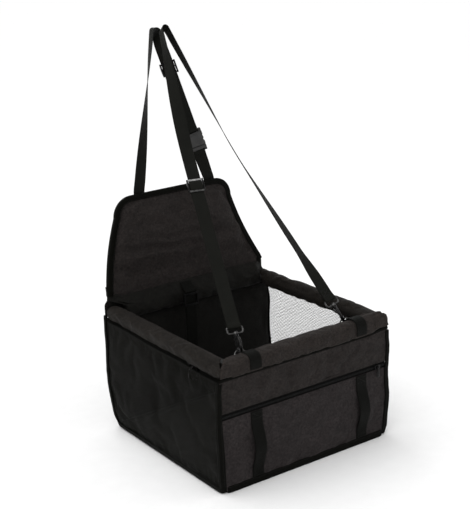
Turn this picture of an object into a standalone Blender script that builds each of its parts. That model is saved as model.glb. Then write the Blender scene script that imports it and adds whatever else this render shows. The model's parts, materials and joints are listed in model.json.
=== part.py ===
"""Booster chair for a small pet: a soft box with a padded rim on a tube frame, a padded
backrest hinged by a seam, a headrest strap with a side release buckle, a front strap on
two swivel snap hooks, an inner tether and a zipped front pocket.

Units are metres, +Z is up, the front faces -Y and the origin is on the ground, midway
between the sides. Soft layers are modelled at their real thickness and face each other
across a small gap.
"""

import math

import bmesh
import bpy
from mathutils import Matrix, Vector

MM = 0.001
GAP = 0.3 * MM  # between touching pieces

# Box
BODY_WIDTH = 396 * MM  # between the outer faces of the side panels
BODY_DEPTH = 386 * MM  # between the outer faces of the front and the back
RIM_TOP = 268 * MM
BINDING_WIDTH = 12 * MM
BINDING_THICK = 2 * MM
OUTER_CLOTH = 1.5 * MM
MESH_THICK = 1.2 * MM
FRONT_PAD = 6 * MM
BACK_PAD = 8 * MM
PAD_CHAMFER = 1.5 * MM
POCKET_DEPTH = 2.5 * MM
BOARD_THICK = 3 * MM
FLOOR_PAD_THICK = 12 * MM
FLOOR_PAD_CROWN = 4 * MM
FLOOR_PAD_DRAW = 5 * MM  # how far the floor pad's sides pull in between its corners

# Rim and tube frame
TUBE_RADIUS = 10 * MM
TUBE_WALL = 1.5 * MM
ELBOW_BEND = 18 * MM
STEM_LENGTH = 20 * MM
TUBE_CLEARANCE = 0.4 * MM
RIM_HALF_HEIGHT = 20.5 * MM
FRONT_RIM_HALF_WIDTH = 18 * MM
SIDE_RIM_HALF_WIDTH = 17 * MM
SIDE_RIM_DROP = 17 * MM  # from the tube's axis to the side rim's seam
RIM_OVERHANG = 3 * MM  # how far the front rim stands out past the pocket
RIM_NOTCH = 1.2 * MM  # half of the open cut at each front corner
RIM_POWER = 2.5  # how square the front rim is
SIDE_RIM_POWER = 2.3
BACK_RIM_REACH = 2 * TUBE_RADIUS + 7 * MM  # of the channel round the rear tube, into the box
BACK_RIM_RISE = 17 * MM  # of its top above the other rims
BACK_RIM_HEIGHT = BACK_RIM_RISE + RIM_HALF_HEIGHT + TUBE_RADIUS + 1.5 * MM
BACK_RIM_TOP = RIM_TOP + BACK_RIM_RISE
BACK_SHEET = 3 * MM  # the fabric behind the rear channel, across the whole back
BACK_RIM_CURVE = (
    (8.0, 0.0),
    (13.5, -4.0),
    (20.0, -13.0),
    (25.0, -23.0),
    (27.0, -33.0),
    (25.5, -42.0),
    (18.0, -49.0),
)  # (reach, rise) of its front face, for a channel 27 deep and 49 high

# Side nets
NET_COLUMNS = 12
NET_ROWS = 8
NET_BAR = 5 * MM
NET_MARGIN = 14 * MM

# Pocket and zip
ZIP_HEIGHT = 154 * MM
ZIP_SLOT = 10 * MM
ZIP_TAPE = 22 * MM
COIL_WIDTH = 5 * MM
COIL_PROUD = 0.6 * MM
SLIDER_LENGTH = 14 * MM
PULL_LENGTH = 22 * MM
POCKET_BAND_X = (-120 * MM, 136 * MM)
BAND_SEWN = 17 * MM
BAND_BOW = 12 * MM

# Webbing and its hardware
WEBBING = 26 * MM
WEBBING_THICK = 1.4 * MM
LAYER_GAP = 0.4 * MM  # between two layers of doubled webbing
RING_WIRE = 1.6 * MM
RING_HALF_WIDTH = WEBBING / 2 + 2.5 * MM
RING_HEIGHT = 20 * MM
RING_DROP = 11 * MM  # of the ring's bar below the tube's axis
HOOK_LENGTH = 38 * MM  # from the swivel to the middle of the hook's bend
HOOK_HALF_WIDTH = 11 * MM
HOOK_WIRE = 2.7 * MM
HOOK_SEAT_GAP = 1.5 * MM  # above the bend, so that its sides clear the ring
EYE_HEIGHT = 12 * MM
EYE_CORNER_TOP = 2 * MM
EYE_CORNER_FOOT = 5 * MM
GATE_PIVOT = (6.2 * MM, -9.4 * MM)
GATE_PIN = 0.9 * MM  # radius
GATE_HALF = 2.05 * MM  # half of its thickness
EAR_IN, EAR_OUT = 2.4 * MM, 3.6 * MM  # of the hook's ears beside the gate
FRONT_HOOK_TURN = (math.radians(93), math.radians(58))
GLIDE_LENGTH = 28 * MM
GLIDE_RAIL = 3 * MM
GLIDE_SLACK = 1 * MM
GLIDE_BAR = 1.25 * MM  # radius of the bar that the webbing's end is sewn round
GLIDE_FACE_BAR = 3.8 * MM  # height of the bars that show
GLIDE_TRAVEL = 40 * MM  # of straight webbing kept above each slider
SEWN_RETURN = 26 * MM
GLIDE_RETURN = 20 * MM
STRAP_PITCH = 24 * MM  # between a strap's sections

# Backrest
BACKREST_HEIGHT = 187 * MM  # from its seam to its top edge
BACKREST_THICK = 8 * MM
BACKREST_CROWN = 5 * MM
BACKREST_LEAN = math.radians(12)
BACKREST_FOOT_HALF = 193 * MM
BACKREST_TOP_HALF = 142 * MM
BACKREST_CORNER = 28 * MM
BACKREST_SKIN = 1.3 * MM  # thickness of the binding over its edge
STIFFENER_THICK = 2 * MM
STIFFENER_DROP = 24 * MM  # of its slot's top below the backrest's top edge

# Headrest strap and front strap
HEADREST_FOOT_X = 87 * MM
HEADREST_PEAK = Vector((-5 * MM, 275 * MM, 797 * MM))
FRONT_PEAK = Vector((-5 * MM, 242 * MM, 800 * MM))
PEAK_BEND = 7 * MM  # radius of a strap's bend over what it hangs on
FRONT_SAG = 24 * MM  # of the front strap's legs below a straight line
FRONT_BOW = (-5 * MM, 13 * MM)  # of each leg, along X, at its bend
FRONT_SAG_AT = (0.63, 0.58)  # share of each leg, from its hook, where it bends
SAG_REACH = 45 * MM  # of the soft bend on each side
BUCKLE_HEIGHT = 62 * MM  # of the plug's foot above the backrest, along the strap
FRONT_GLIDE_AT = 296 * MM  # along the left leg, from the hook's eye
HEADREST_GLIDE_AT = 142 * MM  # along the right leg, from the socket's bar
FRONT_LEFT_TURN = math.radians(-14)  # the width's direction on the left leg
FRONT_PEAK_TURN = math.radians(-100)
FRONT_RIGHT_TURN = math.radians(-152)
HEADREST_PEAK_TURN = math.radians(78)
BUCKLE_TURN = math.radians(160)
SOCKET_LENGTH = 36 * MM
PLUG_BASE = 13 * MM
BUCKLE_HALF_WIDTH = 19 * MM
BUCKLE_BAR = 2.4 * MM  # the reach of a webbing bar's corners from its middle

# Tether
TETHER_X = -22 * MM
TETHER_LENGTH = 165 * MM
TETHER_SEWN = 17 * MM  # from its top end down to where it hangs free
TETHER_GLIDE_DROP = 33 * MM
TETHER_CLEARANCE = 1.5 * MM  # between its slider and the rear channel

HALF_W = BODY_WIDTH / 2
HALF_D = BODY_DEPTH / 2
FRAME_Z = RIM_TOP - RIM_HALF_HEIGHT
FRAME_X = HALF_W - SIDE_RIM_HALF_WIDTH - 1 * MM
FRONT_TUBE_Y = -HALF_D - RIM_OVERHANG + FRONT_RIM_HALF_WIDTH
BACK_TUBE_Y = HALF_D - TUBE_RADIUS - 3.5 * MM
FRONT_SEAM_Z = FRAME_Z - RIM_HALF_HEIGHT
SIDE_SEAM_Z = FRAME_Z - SIDE_RIM_DROP
BACK_SEAM_Z = BACK_RIM_TOP - BACK_RIM_HEIGHT
FLOOR_Z = BINDING_THICK  # where the layers above the bindings start
HINGE = Vector((0, HALF_D - BACKREST_THICK / 2, BACK_RIM_TOP + GAP + BACKREST_THICK / 2))
X, Y, Z = Vector((1, 0, 0)), Vector((0, 1, 0)), Vector((0, 0, 1))


def clear_scene():
    for found in list(bpy.data.objects):
        bpy.data.objects.remove(found, do_unlink=True)


def material(name, colour, roughness, metallic=0.0):
    made = bpy.data.materials.new(name)
    made.use_nodes = True
    shader = made.node_tree.nodes["Principled BSDF"]
    shader.inputs["Base Color"].default_value = (*colour, 1)
    shader.inputs["Roughness"].default_value = roughness
    shader.inputs["Metallic"].default_value = metallic
    return made


def make_materials():
    return {
        "oxford": material("oxford", (0.022, 0.019, 0.019), 0.85),
        "lining": material("lining", (0.012, 0.011, 0.011), 0.9),
        "binding": material("binding", (0.008, 0.008, 0.008), 0.8),
        "webbing": material("webbing", (0.012, 0.012, 0.012), 0.6),
        "net": material("net", (0.015, 0.015, 0.014), 0.7),
        "zip": material("zip", (0.008, 0.008, 0.008), 0.5),
        "plastic": material("plastic", (0.02, 0.02, 0.021), 0.35),
        "metal": material("metal", (0.06, 0.06, 0.065), 0.25, 1.0),
        "tube": material("tube", (0.7, 0.7, 0.68), 0.4),
        "board": material("board", (0.25, 0.17, 0.1), 0.8),
    }


# Building blocks


def add_object(name, shape, look, placed=None, smooth=True):
    """A new object from a bmesh, with its faces pointing out."""
    bmesh.ops.recalc_face_normals(shape, faces=shape.faces)
    mesh = bpy.data.meshes.new(name)
    shape.to_mesh(mesh)
    shape.free()
    if smooth:
        mesh.shade_smooth()
        mesh.set_sharp_from_angle(angle=math.radians(35))
    made = bpy.data.objects.new(name, mesh)
    made.data.materials.append(look)
    bpy.context.scene.collection.objects.link(made)
    if placed is not None:
        made.matrix_world = placed
    return made


def loft(rings, closed=False):
    """A closed shape through rings of equal point counts, capped unless it joins up."""
    shape = bmesh.new()
    made = [[shape.verts.new(point) for point in ring] for ring in rings]
    pairs = list(zip(made, made[1:]))
    if closed:
        pairs.append((made[-1], made[0]))
    else:
        shape.faces.new(made[0])
        shape.faces.new(made[-1])
    for first, second in pairs:
        for i in range(len(first)):
            j = (i + 1) % len(first)
            shape.faces.new((first[i], first[j], second[j], second[i]))
    return shape


def block(low, high, bevel=0.0):
    """A box between two corners, with its edges rounded off by a chamfer."""
    low, high = Vector(low), Vector(high)
    shape = bmesh.new()
    bmesh.ops.create_cube(shape, size=1)
    size = high - low
    bmesh.ops.scale(shape, vec=size, verts=shape.verts)
    bmesh.ops.translate(shape, vec=(low + high) / 2, verts=shape.verts)
    if bevel:
        bmesh.ops.bevel(
            shape, geom=shape.edges[:], offset=bevel, segments=1, affect="EDGES"
        )
    return shape


def prism(outline, start, end):
    """An outline of points extruded from one offset to another."""
    return loft([[p + start for p in outline], [p + end for p in outline]])


def circle(centre, radius, u, v, sides):
    """Points of a circle in the plane of u and v."""
    return [
        centre + radius * (math.cos(a) * u + math.sin(a) * v)
        for a in (2 * math.pi * i / sides for i in range(sides))
    ]


def tube_along(path, normal, radii, sides, closed=False):
    """A round bar along a flat path whose plane has this normal."""
    rings = []
    count = len(path)
    for i, point in enumerate(path):
        before = path[(i - 1) % count] if closed or i else path[i]
        after = path[(i + 1) % count] if closed or i < count - 1 else path[i]
        side = (after - before).normalized().cross(normal)
        radius = radii[i] if isinstance(radii, list) else radii
        rings.append(circle(point, radius, normal, side, sides))
    return loft(rings, closed)


def turned(profile, sides):
    """A solid of revolution about Z from (radius, height) points, bottom to top."""
    return loft([circle(Z * height, radius, X, Y, sides) for radius, height in profile])


def join_or_cut(target, others, operation):
    """Joins other solids to target, or cuts them away, and hides the helpers."""
    for helper in others:
        helper.hide_render = True
        helper.display_type = "WIRE"
        modifier = target.modifiers.new(helper.name, "BOOLEAN")
        modifier.operation = operation
        modifier.solver = "EXACT"
        modifier.object = helper
    return target


def helper(name, shape, placed=None):
    return add_object(name, shape, bpy.data.materials["board"], placed, smooth=False)


def superellipse(half_u, half_v, power, count, u, v, centre):
    """A rounded outline, squarer as the power grows."""
    points = []
    for i in range(count):
        a = 2 * math.pi * i / count
        c, s = math.cos(a), math.sin(a)
        along = math.copysign(abs(c) ** (2 / power), c) * half_u
        up = math.copysign(abs(s) ** (2 / power), s) * half_v
        points.append(centre + along * u + up * v)
    return points


def smoothstep(value):
    value = min(max(value, 0.0), 1.0)
    return value * value * (3 - 2 * value)


def between_knots(knots, at):
    """Eases between (place, value) knots, and holds the end values."""
    if at <= knots[0][0]:
        return knots[0][1]
    for (a, first), (b, second) in zip(knots, knots[1:]):
        if at <= b:
            return first + (second - first) * smoothstep((at - a) / (b - a))
    return knots[-1][1]


def ribbon(path, across, width=WEBBING, thick=WEBBING_THICK):
    """Webbing along a path. across gives the direction of its width at each point."""
    rings = []
    last = len(path) - 1
    for i, point in enumerate(path):
        ahead = (path[min(i + 1, last)] - path[max(i - 1, 0)]).normalized()
        side = across[i] - across[i].dot(ahead) * ahead
        side.normalize()
        out = ahead.cross(side)
        half, deep = side * width / 2, out * thick / 2
        corners = ((-half, -deep), (half, -deep), (half, deep), (-half, deep))
        rings.append([point + a + b for a, b in corners])
    return loft(rings)


# Box shell


def edge_binding(path, outward, normal, width, thick):
    """Tape folded over an edge: an L section along a path with mitred corners.

    outward gives each run's direction away from the panel, and normal is the panel's.
    """
    section = [
        (-width, GAP),
        (-width, thick),
        (thick, thick),
        (thick, -width),
        (GAP, -width),
        (GAP, GAP),
    ]
    rings = []
    for i, point in enumerate(path):
        first = outward[max(i - 1, 0)]
        second = outward[min(i, len(outward) - 1)]
        mitre = (first + second) / (1 + first.dot(second))
        rings.append([point + mitre * a + normal * b for a, b in section])
    return loft(rings)


def build_bindings(looks):
    for name, sign in (("side_binding_left", -1), ("side_binding_right", 1)):
        edge_x = sign * HALF_W
        top = SIDE_SEAM_Z - GAP
        path = [
            Vector((edge_x, -HALF_D, FRONT_SEAM_Z - GAP)),
            Vector((edge_x, -HALF_D, FLOOR_Z)),
            Vector((edge_x, HALF_D, FLOOR_Z)),
            Vector((edge_x, HALF_D, top)),
        ]
        shape = edge_binding(path, [-Y, -Z, Y], X * sign, BINDING_WIDTH, BINDING_THICK)
        add_object(name, shape, looks["binding"], smooth=False)
    reach = HALF_W - BINDING_WIDTH - GAP
    for name, sign in (("front_hem", -1), ("back_hem", 1)):
        path = [Vector((x, sign * HALF_D, FLOOR_Z)) for x in (-reach, reach)]
        shape = edge_binding(path, [-Z], Y * sign, BINDING_WIDTH, BINDING_THICK)
        add_object(name, shape, looks["binding"], smooth=False)


def pad(low, high, crown, draw, columns, rows):
    """A cushion on a flat base: a crowned top, and sides drawn in between corners."""
    centre_x, centre_y = (low.x + high.x) / 2, (low.y + high.y) / 2
    half_x, half_y = (high.x - low.x) / 2, (high.y - low.y) / 2

    def place(u, v):
        pull_x = draw * (1 - v * v)
        pull_y = draw * (1 - u * u)
        return centre_x + u * (half_x - pull_x), centre_y + v * (half_y - pull_y)

    shape = bmesh.new()
    top, bottom = {}, {}
    for i in range(columns + 1):
        for j in range(rows + 1):
            u, v = 2 * i / columns - 1, 2 * j / rows - 1
            x, y = place(u, v)
            rise = crown * (1 - u**4) * (1 - v**4)
            edge = max(abs(u), abs(v)) > 0.999
            top[i, j] = shape.verts.new((x, y, high.z - (2 * MM if edge else 0) + rise))
            bottom[i, j] = shape.verts.new((x, y, low.z))
    for i in range(columns):
        for j in range(rows):
            for layer in (top, bottom):
                corners = ((i, j), (i + 1, j), (i + 1, j + 1), (i, j + 1))
                shape.faces.new([layer[corner] for corner in corners])
    rim = [(i, 0) for i in range(columns)] + [(columns, j) for j in range(rows)]
    rim += [(i, rows) for i in range(columns, 0, -1)] + [(0, j) for j in range(rows, 0, -1)]
    for here, after in zip(rim, rim[1:] + rim[:1]):
        shape.faces.new([top[here], top[after], bottom[after], bottom[here]])
    return shape


def build_floor(looks):
    reach_x = HALF_W - BINDING_WIDTH - GAP
    reach_y = HALF_D - BINDING_WIDTH - GAP
    cover = block((-reach_x, -reach_y, 0), (reach_x, reach_y, FLOOR_Z - GAP))
    add_object("bottom_cover", cover, looks["oxford"], smooth=False)
    inner_x = HALF_W - MESH_THICK - 2 * MM
    front = -HALF_D + OUTER_CLOTH + POCKET_DEPTH + FRONT_PAD + GAP
    back = HALF_D - BACK_PAD - GAP
    board = block((-inner_x, front, FLOOR_Z), (inner_x, back, FLOOR_Z + BOARD_THICK), 0.8 * MM)
    add_object("base_board", board, looks["board"], smooth=False)
    low = Vector((-inner_x, front, FLOOR_Z + BOARD_THICK + GAP))
    high = Vector((inner_x, back, FLOOR_Z + BOARD_THICK + GAP + FLOOR_PAD_THICK))
    shape = pad(low, high, FLOOR_PAD_CROWN, FLOOR_PAD_DRAW, 10, 10)
    add_object("floor_pad", shape, looks["oxford"])


def build_front(looks):
    outer, inner = -HALF_D, -HALF_D + OUTER_CLOTH
    slot_top, slot_foot = ZIP_HEIGHT + ZIP_SLOT / 2, ZIP_HEIGHT - ZIP_SLOT / 2
    upper = block((-HALF_W, outer, slot_top), (HALF_W, inner, FRONT_SEAM_Z - GAP))
    add_object("front_upper_panel", upper, looks["oxford"], smooth=False)
    pocket = block((-HALF_W, outer, FLOOR_Z + GAP), (HALF_W, inner, slot_foot))
    add_object("pocket_panel", pocket, looks["oxford"], smooth=False)
    wall_y = inner + POCKET_DEPTH
    inside = HALF_W - MESH_THICK - GAP
    wall = block(
        (-inside, wall_y, FLOOR_Z + GAP),
        (inside, wall_y + FRONT_PAD, FRONT_SEAM_Z - GAP),
        PAD_CHAMFER,
    )
    add_object("front_wall_pad", wall, looks["lining"], smooth=False)


def build_back(looks):
    inside = HALF_W - MESH_THICK - GAP
    wall = block(
        (-inside, HALF_D - BACK_PAD, FLOOR_Z + GAP),
        (inside, HALF_D, BACK_SEAM_Z - GAP),
        PAD_CHAMFER,
    )
    add_object("back_wall_pad", wall, looks["lining"], smooth=False)


def net_shape(half_y, low_z, high_z):
    """A flat net: bars between open gaps, with a plain margin where it is bound."""

    def bar_edges(start, end, gaps):
        first, last = start + NET_MARGIN, end - NET_MARGIN
        pitch = (last - first + NET_BAR) / gaps
        edges = [start]
        for i in range(gaps):
            edges += [first + i * pitch, first + (i + 1) * pitch - NET_BAR]
        return edges + [end]

    ys = bar_edges(-half_y, half_y, NET_COLUMNS)
    zs = bar_edges(low_z, high_z, NET_ROWS)
    shape = bmesh.new()
    points = {}
    for i, y in enumerate(ys):
        for j, z in enumerate(zs):
            points[i, j] = shape.verts.new((0, y, z))
    for i in range(len(ys) - 1):
        for j in range(len(zs) - 1):
            if i % 2 == 0 or j % 2 == 0:
                corners = ((i, j), (i + 1, j), (i + 1, j + 1), (i, j + 1))
                shape.faces.new([points[corner] for corner in corners])
    made = bmesh.ops.extrude_face_region(shape, geom=shape.faces[:])
    moved = [g for g in made["geom"] if isinstance(g, bmesh.types.BMVert)]
    bmesh.ops.translate(shape, vec=X * MESH_THICK, verts=moved)
    return shape


def build_nets(looks):
    half_y = HALF_D - OUTER_CLOTH - GAP
    for name, sign in (("side_net_left", -1), ("side_net_right", 1)):
        shape = net_shape(half_y, FLOOR_Z + GAP, SIDE_SEAM_Z - GAP)
        at = -HALF_W if sign < 0 else HALF_W - MESH_THICK
        add_object(name, shape, looks["net"], Matrix.Translation((at, 0, 0)), smooth=False)


# Tube frame and rim


def frame_corners():
    """The four corners of the frame's centre line, and the way in from each."""
    return [
        ("front_left", Vector((-FRAME_X, FRONT_TUBE_Y, FRAME_Z)), X, Y),
        ("front_right", Vector((FRAME_X, FRONT_TUBE_Y, FRAME_Z)), -X, Y),
        ("back_right", Vector((FRAME_X, BACK_TUBE_Y, FRAME_Z)), -X, -Y),
        ("back_left", Vector((-FRAME_X, BACK_TUBE_Y, FRAME_Z)), X, -Y),
    ]


def corner_arc(corner, along_x, along_y, steps):
    """The bend's centre line, from the run along X to the run along Y."""
    middle = corner + (along_x + along_y) * ELBOW_BEND
    points = []
    for i in range(steps + 1):
        a = math.pi / 2 * i / steps
        points.append(middle - ELBOW_BEND * (math.sin(a) * along_x + math.cos(a) * along_y))
    return points


def build_frame(looks):
    stem = TUBE_RADIUS - TUBE_WALL - GAP
    for name, corner, along_x, along_y in frame_corners():
        bend = corner_arc(corner, along_x, along_y, 4)
        path = [bend[0] + along_x * STEM_LENGTH, bend[0] + along_x * GAP, *bend]
        path += [bend[-1] + along_y * GAP, bend[-1] + along_y * STEM_LENGTH]
        rings = []
        for i, point in enumerate(path):
            if i < 2:
                ahead, radius = along_x, stem
            elif i >= len(path) - 2:
                ahead, radius = along_y, stem
            else:
                a = math.pi / 2 * (i - 2) / 4
                ahead, radius = math.cos(a) * along_x - math.sin(a) * along_y, TUBE_RADIUS
            rings.append(circle(point, radius, Z, ahead.cross(Z).normalized(), 12))
            if i in (1, len(path) - 2):
                shoulder = circle(point, TUBE_RADIUS, Z, ahead.cross(Z).normalized(), 12)
                rings.insert(len(rings) if i == 1 else len(rings) - 1, shoulder)
        rings = align_rings(rings)
        add_object("frame_elbow_" + name, loft(rings), looks["tube"])
    clear = ELBOW_BEND + 2 * GAP
    for name, y in (("frame_tube_front", FRONT_TUBE_Y), ("frame_tube_back", BACK_TUBE_Y)):
        start, end = (Vector((x, y, FRAME_Z)) for x in (-FRAME_X + clear, FRAME_X - clear))
        add_object(name, pipe(start, end), looks["tube"])
    for name, x in (("frame_tube_left", -FRAME_X), ("frame_tube_right", FRAME_X)):
        ends = (FRONT_TUBE_Y + clear, BACK_TUBE_Y - clear)
        start, end = (Vector((x, y, FRAME_Z)) for y in ends)
        add_object(name, pipe(start, end), looks["tube"])


def align_rings(rings):
    """Turns each ring's direction so that it runs the same way round as the one before."""
    aligned = [rings[0]]
    for ring in rings[1:]:
        options = [ring, [ring[0], *reversed(ring[1:])]]
        last = aligned[-1]
        aligned.append(min(options, key=lambda r: sum((a - b).length for a, b in zip(last, r))))
    return aligned


def pipe(start, end):
    """A hollow tube between two points, open at both ends."""
    side = (end - start).normalized().cross(Z)
    inner = TUBE_RADIUS - TUBE_WALL
    rings = [
        circle(start, TUBE_RADIUS, Z, side, 16),
        circle(end, TUBE_RADIUS, Z, side, 16),
        circle(end, inner, Z, side, 16),
        circle(start, inner, Z, side, 16),
    ]
    return loft(rings, closed=True)


def frame_channel():
    """The hollow that the tubes and elbows fill, as one closed round bar."""
    path = []
    for _, corner, along_x, along_y in frame_corners():
        path.append(corner_arc(corner, along_x, along_y, 6))
    order = path[0][::-1] + path[1] + path[2][::-1] + path[3]
    return tube_along(order, Z, TUBE_RADIUS + TUBE_CLEARANCE, 16, closed=True)


def build_rim(looks):
    channel = helper("frame_channel_cutter", frame_channel())
    front_out = Vector((0, FRONT_TUBE_Y, FRAME_Z))
    profile = superellipse(
        FRONT_RIM_HALF_WIDTH, RIM_HALF_HEIGHT, RIM_POWER, 20, Y, Z, front_out
    )

    def mitred(point, sign):
        run = point.y - FRONT_TUBE_Y
        return Vector((sign * (FRAME_X - run - RIM_NOTCH), point.y, point.z))

    rings = [[mitred(p, -1) for p in profile], [mitred(p, 1) for p in profile]]
    front = add_object("rim_sleeve_front", loft(rings), looks["oxford"])
    join_or_cut(front, [channel], "DIFFERENCE")
    for name, sign in (("rim_sleeve_left", -1), ("rim_sleeve_right", 1)):
        centre = Vector((sign * FRAME_X, 0, FRAME_Z))
        profile = superellipse(
            SIDE_RIM_HALF_WIDTH, RIM_HALF_HEIGHT, SIDE_RIM_POWER, 20, X, Z, centre
        )
        profile = [Vector((p.x, 0, max(p.z, SIDE_SEAM_Z))) for p in profile]
        profile = drop_doubles(profile)
        start = []
        for p in profile:
            run = (sign * FRAME_X - p.x) * sign
            start.append(Vector((p.x, FRONT_TUBE_Y + run + RIM_NOTCH, p.z)))
        end = [Vector((p.x, HALF_D - BACK_PAD - GAP, p.z)) for p in profile]
        side = add_object(name, loft([start, end]), looks["oxford"])
        join_or_cut(side, [channel], "DIFFERENCE")
    inside = FRAME_X - SIDE_RIM_HALF_WIDTH - GAP
    bulge = prism(back_rim_outline(), -X * inside, X * inside)
    back = add_object("rim_sleeve_back", bulge, looks["lining"])
    sheet = block((-HALF_W, HALF_D - BACK_SHEET, BACK_SEAM_Z), (HALF_W, HALF_D, BACK_RIM_TOP))
    join_or_cut(back, [helper("rear_sheet", sheet)], "UNION")
    join_or_cut(back, [channel], "DIFFERENCE")


def drop_doubles(points):
    """The points without those that lie on the one before."""
    kept = []
    for point in points:
        if not kept or (point - kept[-1]).length > 0.1 * MM:
            kept.append(point)
    return kept


def back_rim_outline():
    """The rear channel's section: flat behind, round over the tube in front."""
    points = [Vector((0, HALF_D, BACK_SEAM_Z)), Vector((0, HALF_D, BACK_RIM_TOP))]
    scale_y = BACK_RIM_REACH / max(reach for reach, _ in BACK_RIM_CURVE)
    scale_z = BACK_RIM_HEIGHT / -BACK_RIM_CURVE[-1][1]
    for reach, rise in BACK_RIM_CURVE:
        points.append(Vector((0, HALF_D - reach * scale_y, BACK_RIM_TOP + rise * scale_z)))
    return points


def back_rim_front(height):
    """Where the channel's front face is at this height."""
    outline = back_rim_outline()[2:]
    if height >= outline[0].z:
        return outline[0].y
    for above, below in zip(outline, outline[1:]):
        if below.z <= height:
            share = (above.z - height) / (above.z - below.z)
            return above.y + (below.y - above.y) * share
    return outline[-1].y


# Zip and pocket webbing


def build_zip(looks):
    reach = HALF_W - BINDING_WIDTH - 1 * MM
    behind = -HALF_D + OUTER_CLOTH + GAP
    half_tape = ZIP_TAPE / 2
    tape = block(
        (-reach, behind, ZIP_HEIGHT - half_tape),
        (reach, behind + 0.8 * MM, ZIP_HEIGHT + half_tape),
    )
    add_object("zip_tape", tape, looks["zip"], smooth=False)
    half = COIL_WIDTH / 2
    outline = [
        Vector((0, behind - GAP, ZIP_HEIGHT - half)),
        Vector((0, -HALF_D, ZIP_HEIGHT - half)),
        Vector((0, -HALF_D - COIL_PROUD, ZIP_HEIGHT - half * 0.5)),
        Vector((0, -HALF_D - COIL_PROUD, ZIP_HEIGHT + half * 0.5)),
        Vector((0, -HALF_D, ZIP_HEIGHT + half)),
        Vector((0, behind - GAP, ZIP_HEIGHT + half)),
    ]
    add_object("zip_coil", prism(outline, -X * reach, X * reach), looks["zip"], smooth=False)
    build_zip_slider(looks, reach)


def build_zip_slider(looks, reach):
    at_x = reach - SLIDER_LENGTH / 2 - 1 * MM
    home = Matrix.Translation((at_x, -HALF_D, ZIP_HEIGHT))
    plate_in, plate_out = -COIL_PROUD - 0.6 * MM, -COIL_PROUD - 2.4 * MM
    flange_in, flange_out = COIL_WIDTH / 2 + 0.5 * MM, ZIP_SLOT / 2 - 0.6 * MM
    foot = 1.1 * MM
    outline = [
        Vector((0, plate_out, -flange_out)),
        Vector((0, foot, -flange_out)),
        Vector((0, foot, -flange_in)),
        Vector((0, plate_in, -flange_in)),
        Vector((0, plate_in, flange_in)),
        Vector((0, foot, flange_in)),
        Vector((0, foot, flange_out)),
        Vector((0, plate_out, flange_out)),
    ]
    half = SLIDER_LENGTH / 2
    body = prism(outline, -X * half, X * half)
    slider = add_object("zip_slider", body, looks["metal"], home, smooth=False)
    pin_y, pin_radius, pin_half = plate_out - 2.2 * MM, 0.8 * MM, 3.4 * MM
    lugs = []
    for i, sign in enumerate((-1, 1)):
        low = (sign * pin_half - 0.6 * MM, pin_y - 1.1 * MM, -1.2 * MM)
        high = (sign * pin_half + 0.6 * MM, plate_out + 0.5 * MM, 1.2 * MM)
        lugs.append(helper(f"zip_lug_{i}", block(low, high), home))
    ends = [Vector((x, pin_y, 0)) for x in (-pin_half, pin_half)]
    pin = loft([circle(end, pin_radius, Y, Z, 8) for end in ends])
    lugs.append(helper("zip_pin", pin, home))
    join_or_cut(slider, lugs, "UNION")
    pivot = home @ Matrix.Translation((0, pin_y, 0))
    width = 2 * (pin_half - 0.6 * MM - GAP)
    knuckle = loft([circle(X * x, 1.9 * MM, Y, Z, 10) for x in (-width / 2, width / 2)])
    pull = add_object("zip_pull", knuckle, looks["metal"], pivot)
    tab = helper("zip_pull_tab", pull_tab(width), pivot)
    join_or_cut(pull, [tab], "UNION")
    bore = loft([circle(X * x, pin_radius + 0.25 * MM, Y, Z, 12) for x in (-width, width)])
    join_or_cut(pull, [helper("zip_pull_bore", bore, pivot)], "DIFFERENCE")


def pull_tab(width):
    """The zip pull's flat tab, wider at its foot."""
    half, deep = width / 2, 0.7 * MM
    outline = [
        (-half * 0.8, -1.2 * MM),
        (half * 0.8, -1.2 * MM),
        (half * 1.25, -PULL_LENGTH * 0.55),
        (half * 1.25, -PULL_LENGTH + 1.5 * MM),
        (half * 0.7, -PULL_LENGTH),
        (-half * 0.7, -PULL_LENGTH),
        (-half * 1.25, -PULL_LENGTH + 1.5 * MM),
        (-half * 1.25, -PULL_LENGTH * 0.55),
    ]
    return prism([Vector((x, 0, z)) for x, z in outline], -Y * deep, Y * deep)


def build_pocket_bands(looks):
    """Webbing sewn flat at its ends on the pocket, and bowed out between them."""
    top = ZIP_HEIGHT - ZIP_SLOT / 2 - 2 * MM
    foot = FLOOR_Z + BINDING_WIDTH + 1 * MM
    flat_y = -HALF_D - GAP - WEBBING_THICK / 2
    steps = 14
    for name, x in zip(("pocket_band_left", "pocket_band_right"), POCKET_BAND_X):
        path = [Vector((x, flat_y, top))]
        for i in range(steps + 1):
            share = i / steps
            bow = BAND_BOW * math.sin(math.pi * share) ** 2
            z = top - BAND_SEWN + (foot + BAND_SEWN / 2 - top + BAND_SEWN) * share
            path.append(Vector((x, flat_y - bow, z)))
        path.append(Vector((x, flat_y, foot)))
        add_object(name, ribbon(path, [X] * len(path)), looks["webbing"])


# Rings and their tabs


def ring_bar(x):
    """The middle of a D ring's straight bar, on the inner side of the front rim."""
    inner = FRONT_TUBE_Y + FRONT_RIM_HALF_WIDTH
    return Vector((x, inner + GAP + 2 * WEBBING_THICK + RING_WIRE, FRAME_Z - RING_DROP))


def leg_bend(x):
    """Where a leg of the front strap bends as it sags between its ring and the peak."""
    start = ring_bar(x)
    chord = FRONT_PEAK - start
    ahead = chord.normalized()
    down = (ahead * ahead.z - Z).normalized()
    leg = 0 if x < 0 else 1
    return start + chord * FRONT_SAG_AT[leg] + down * FRONT_SAG + X * FRONT_BOW[leg]


def leg_direction(x):
    return (leg_bend(x) - ring_bar(x)).normalized()


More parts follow.
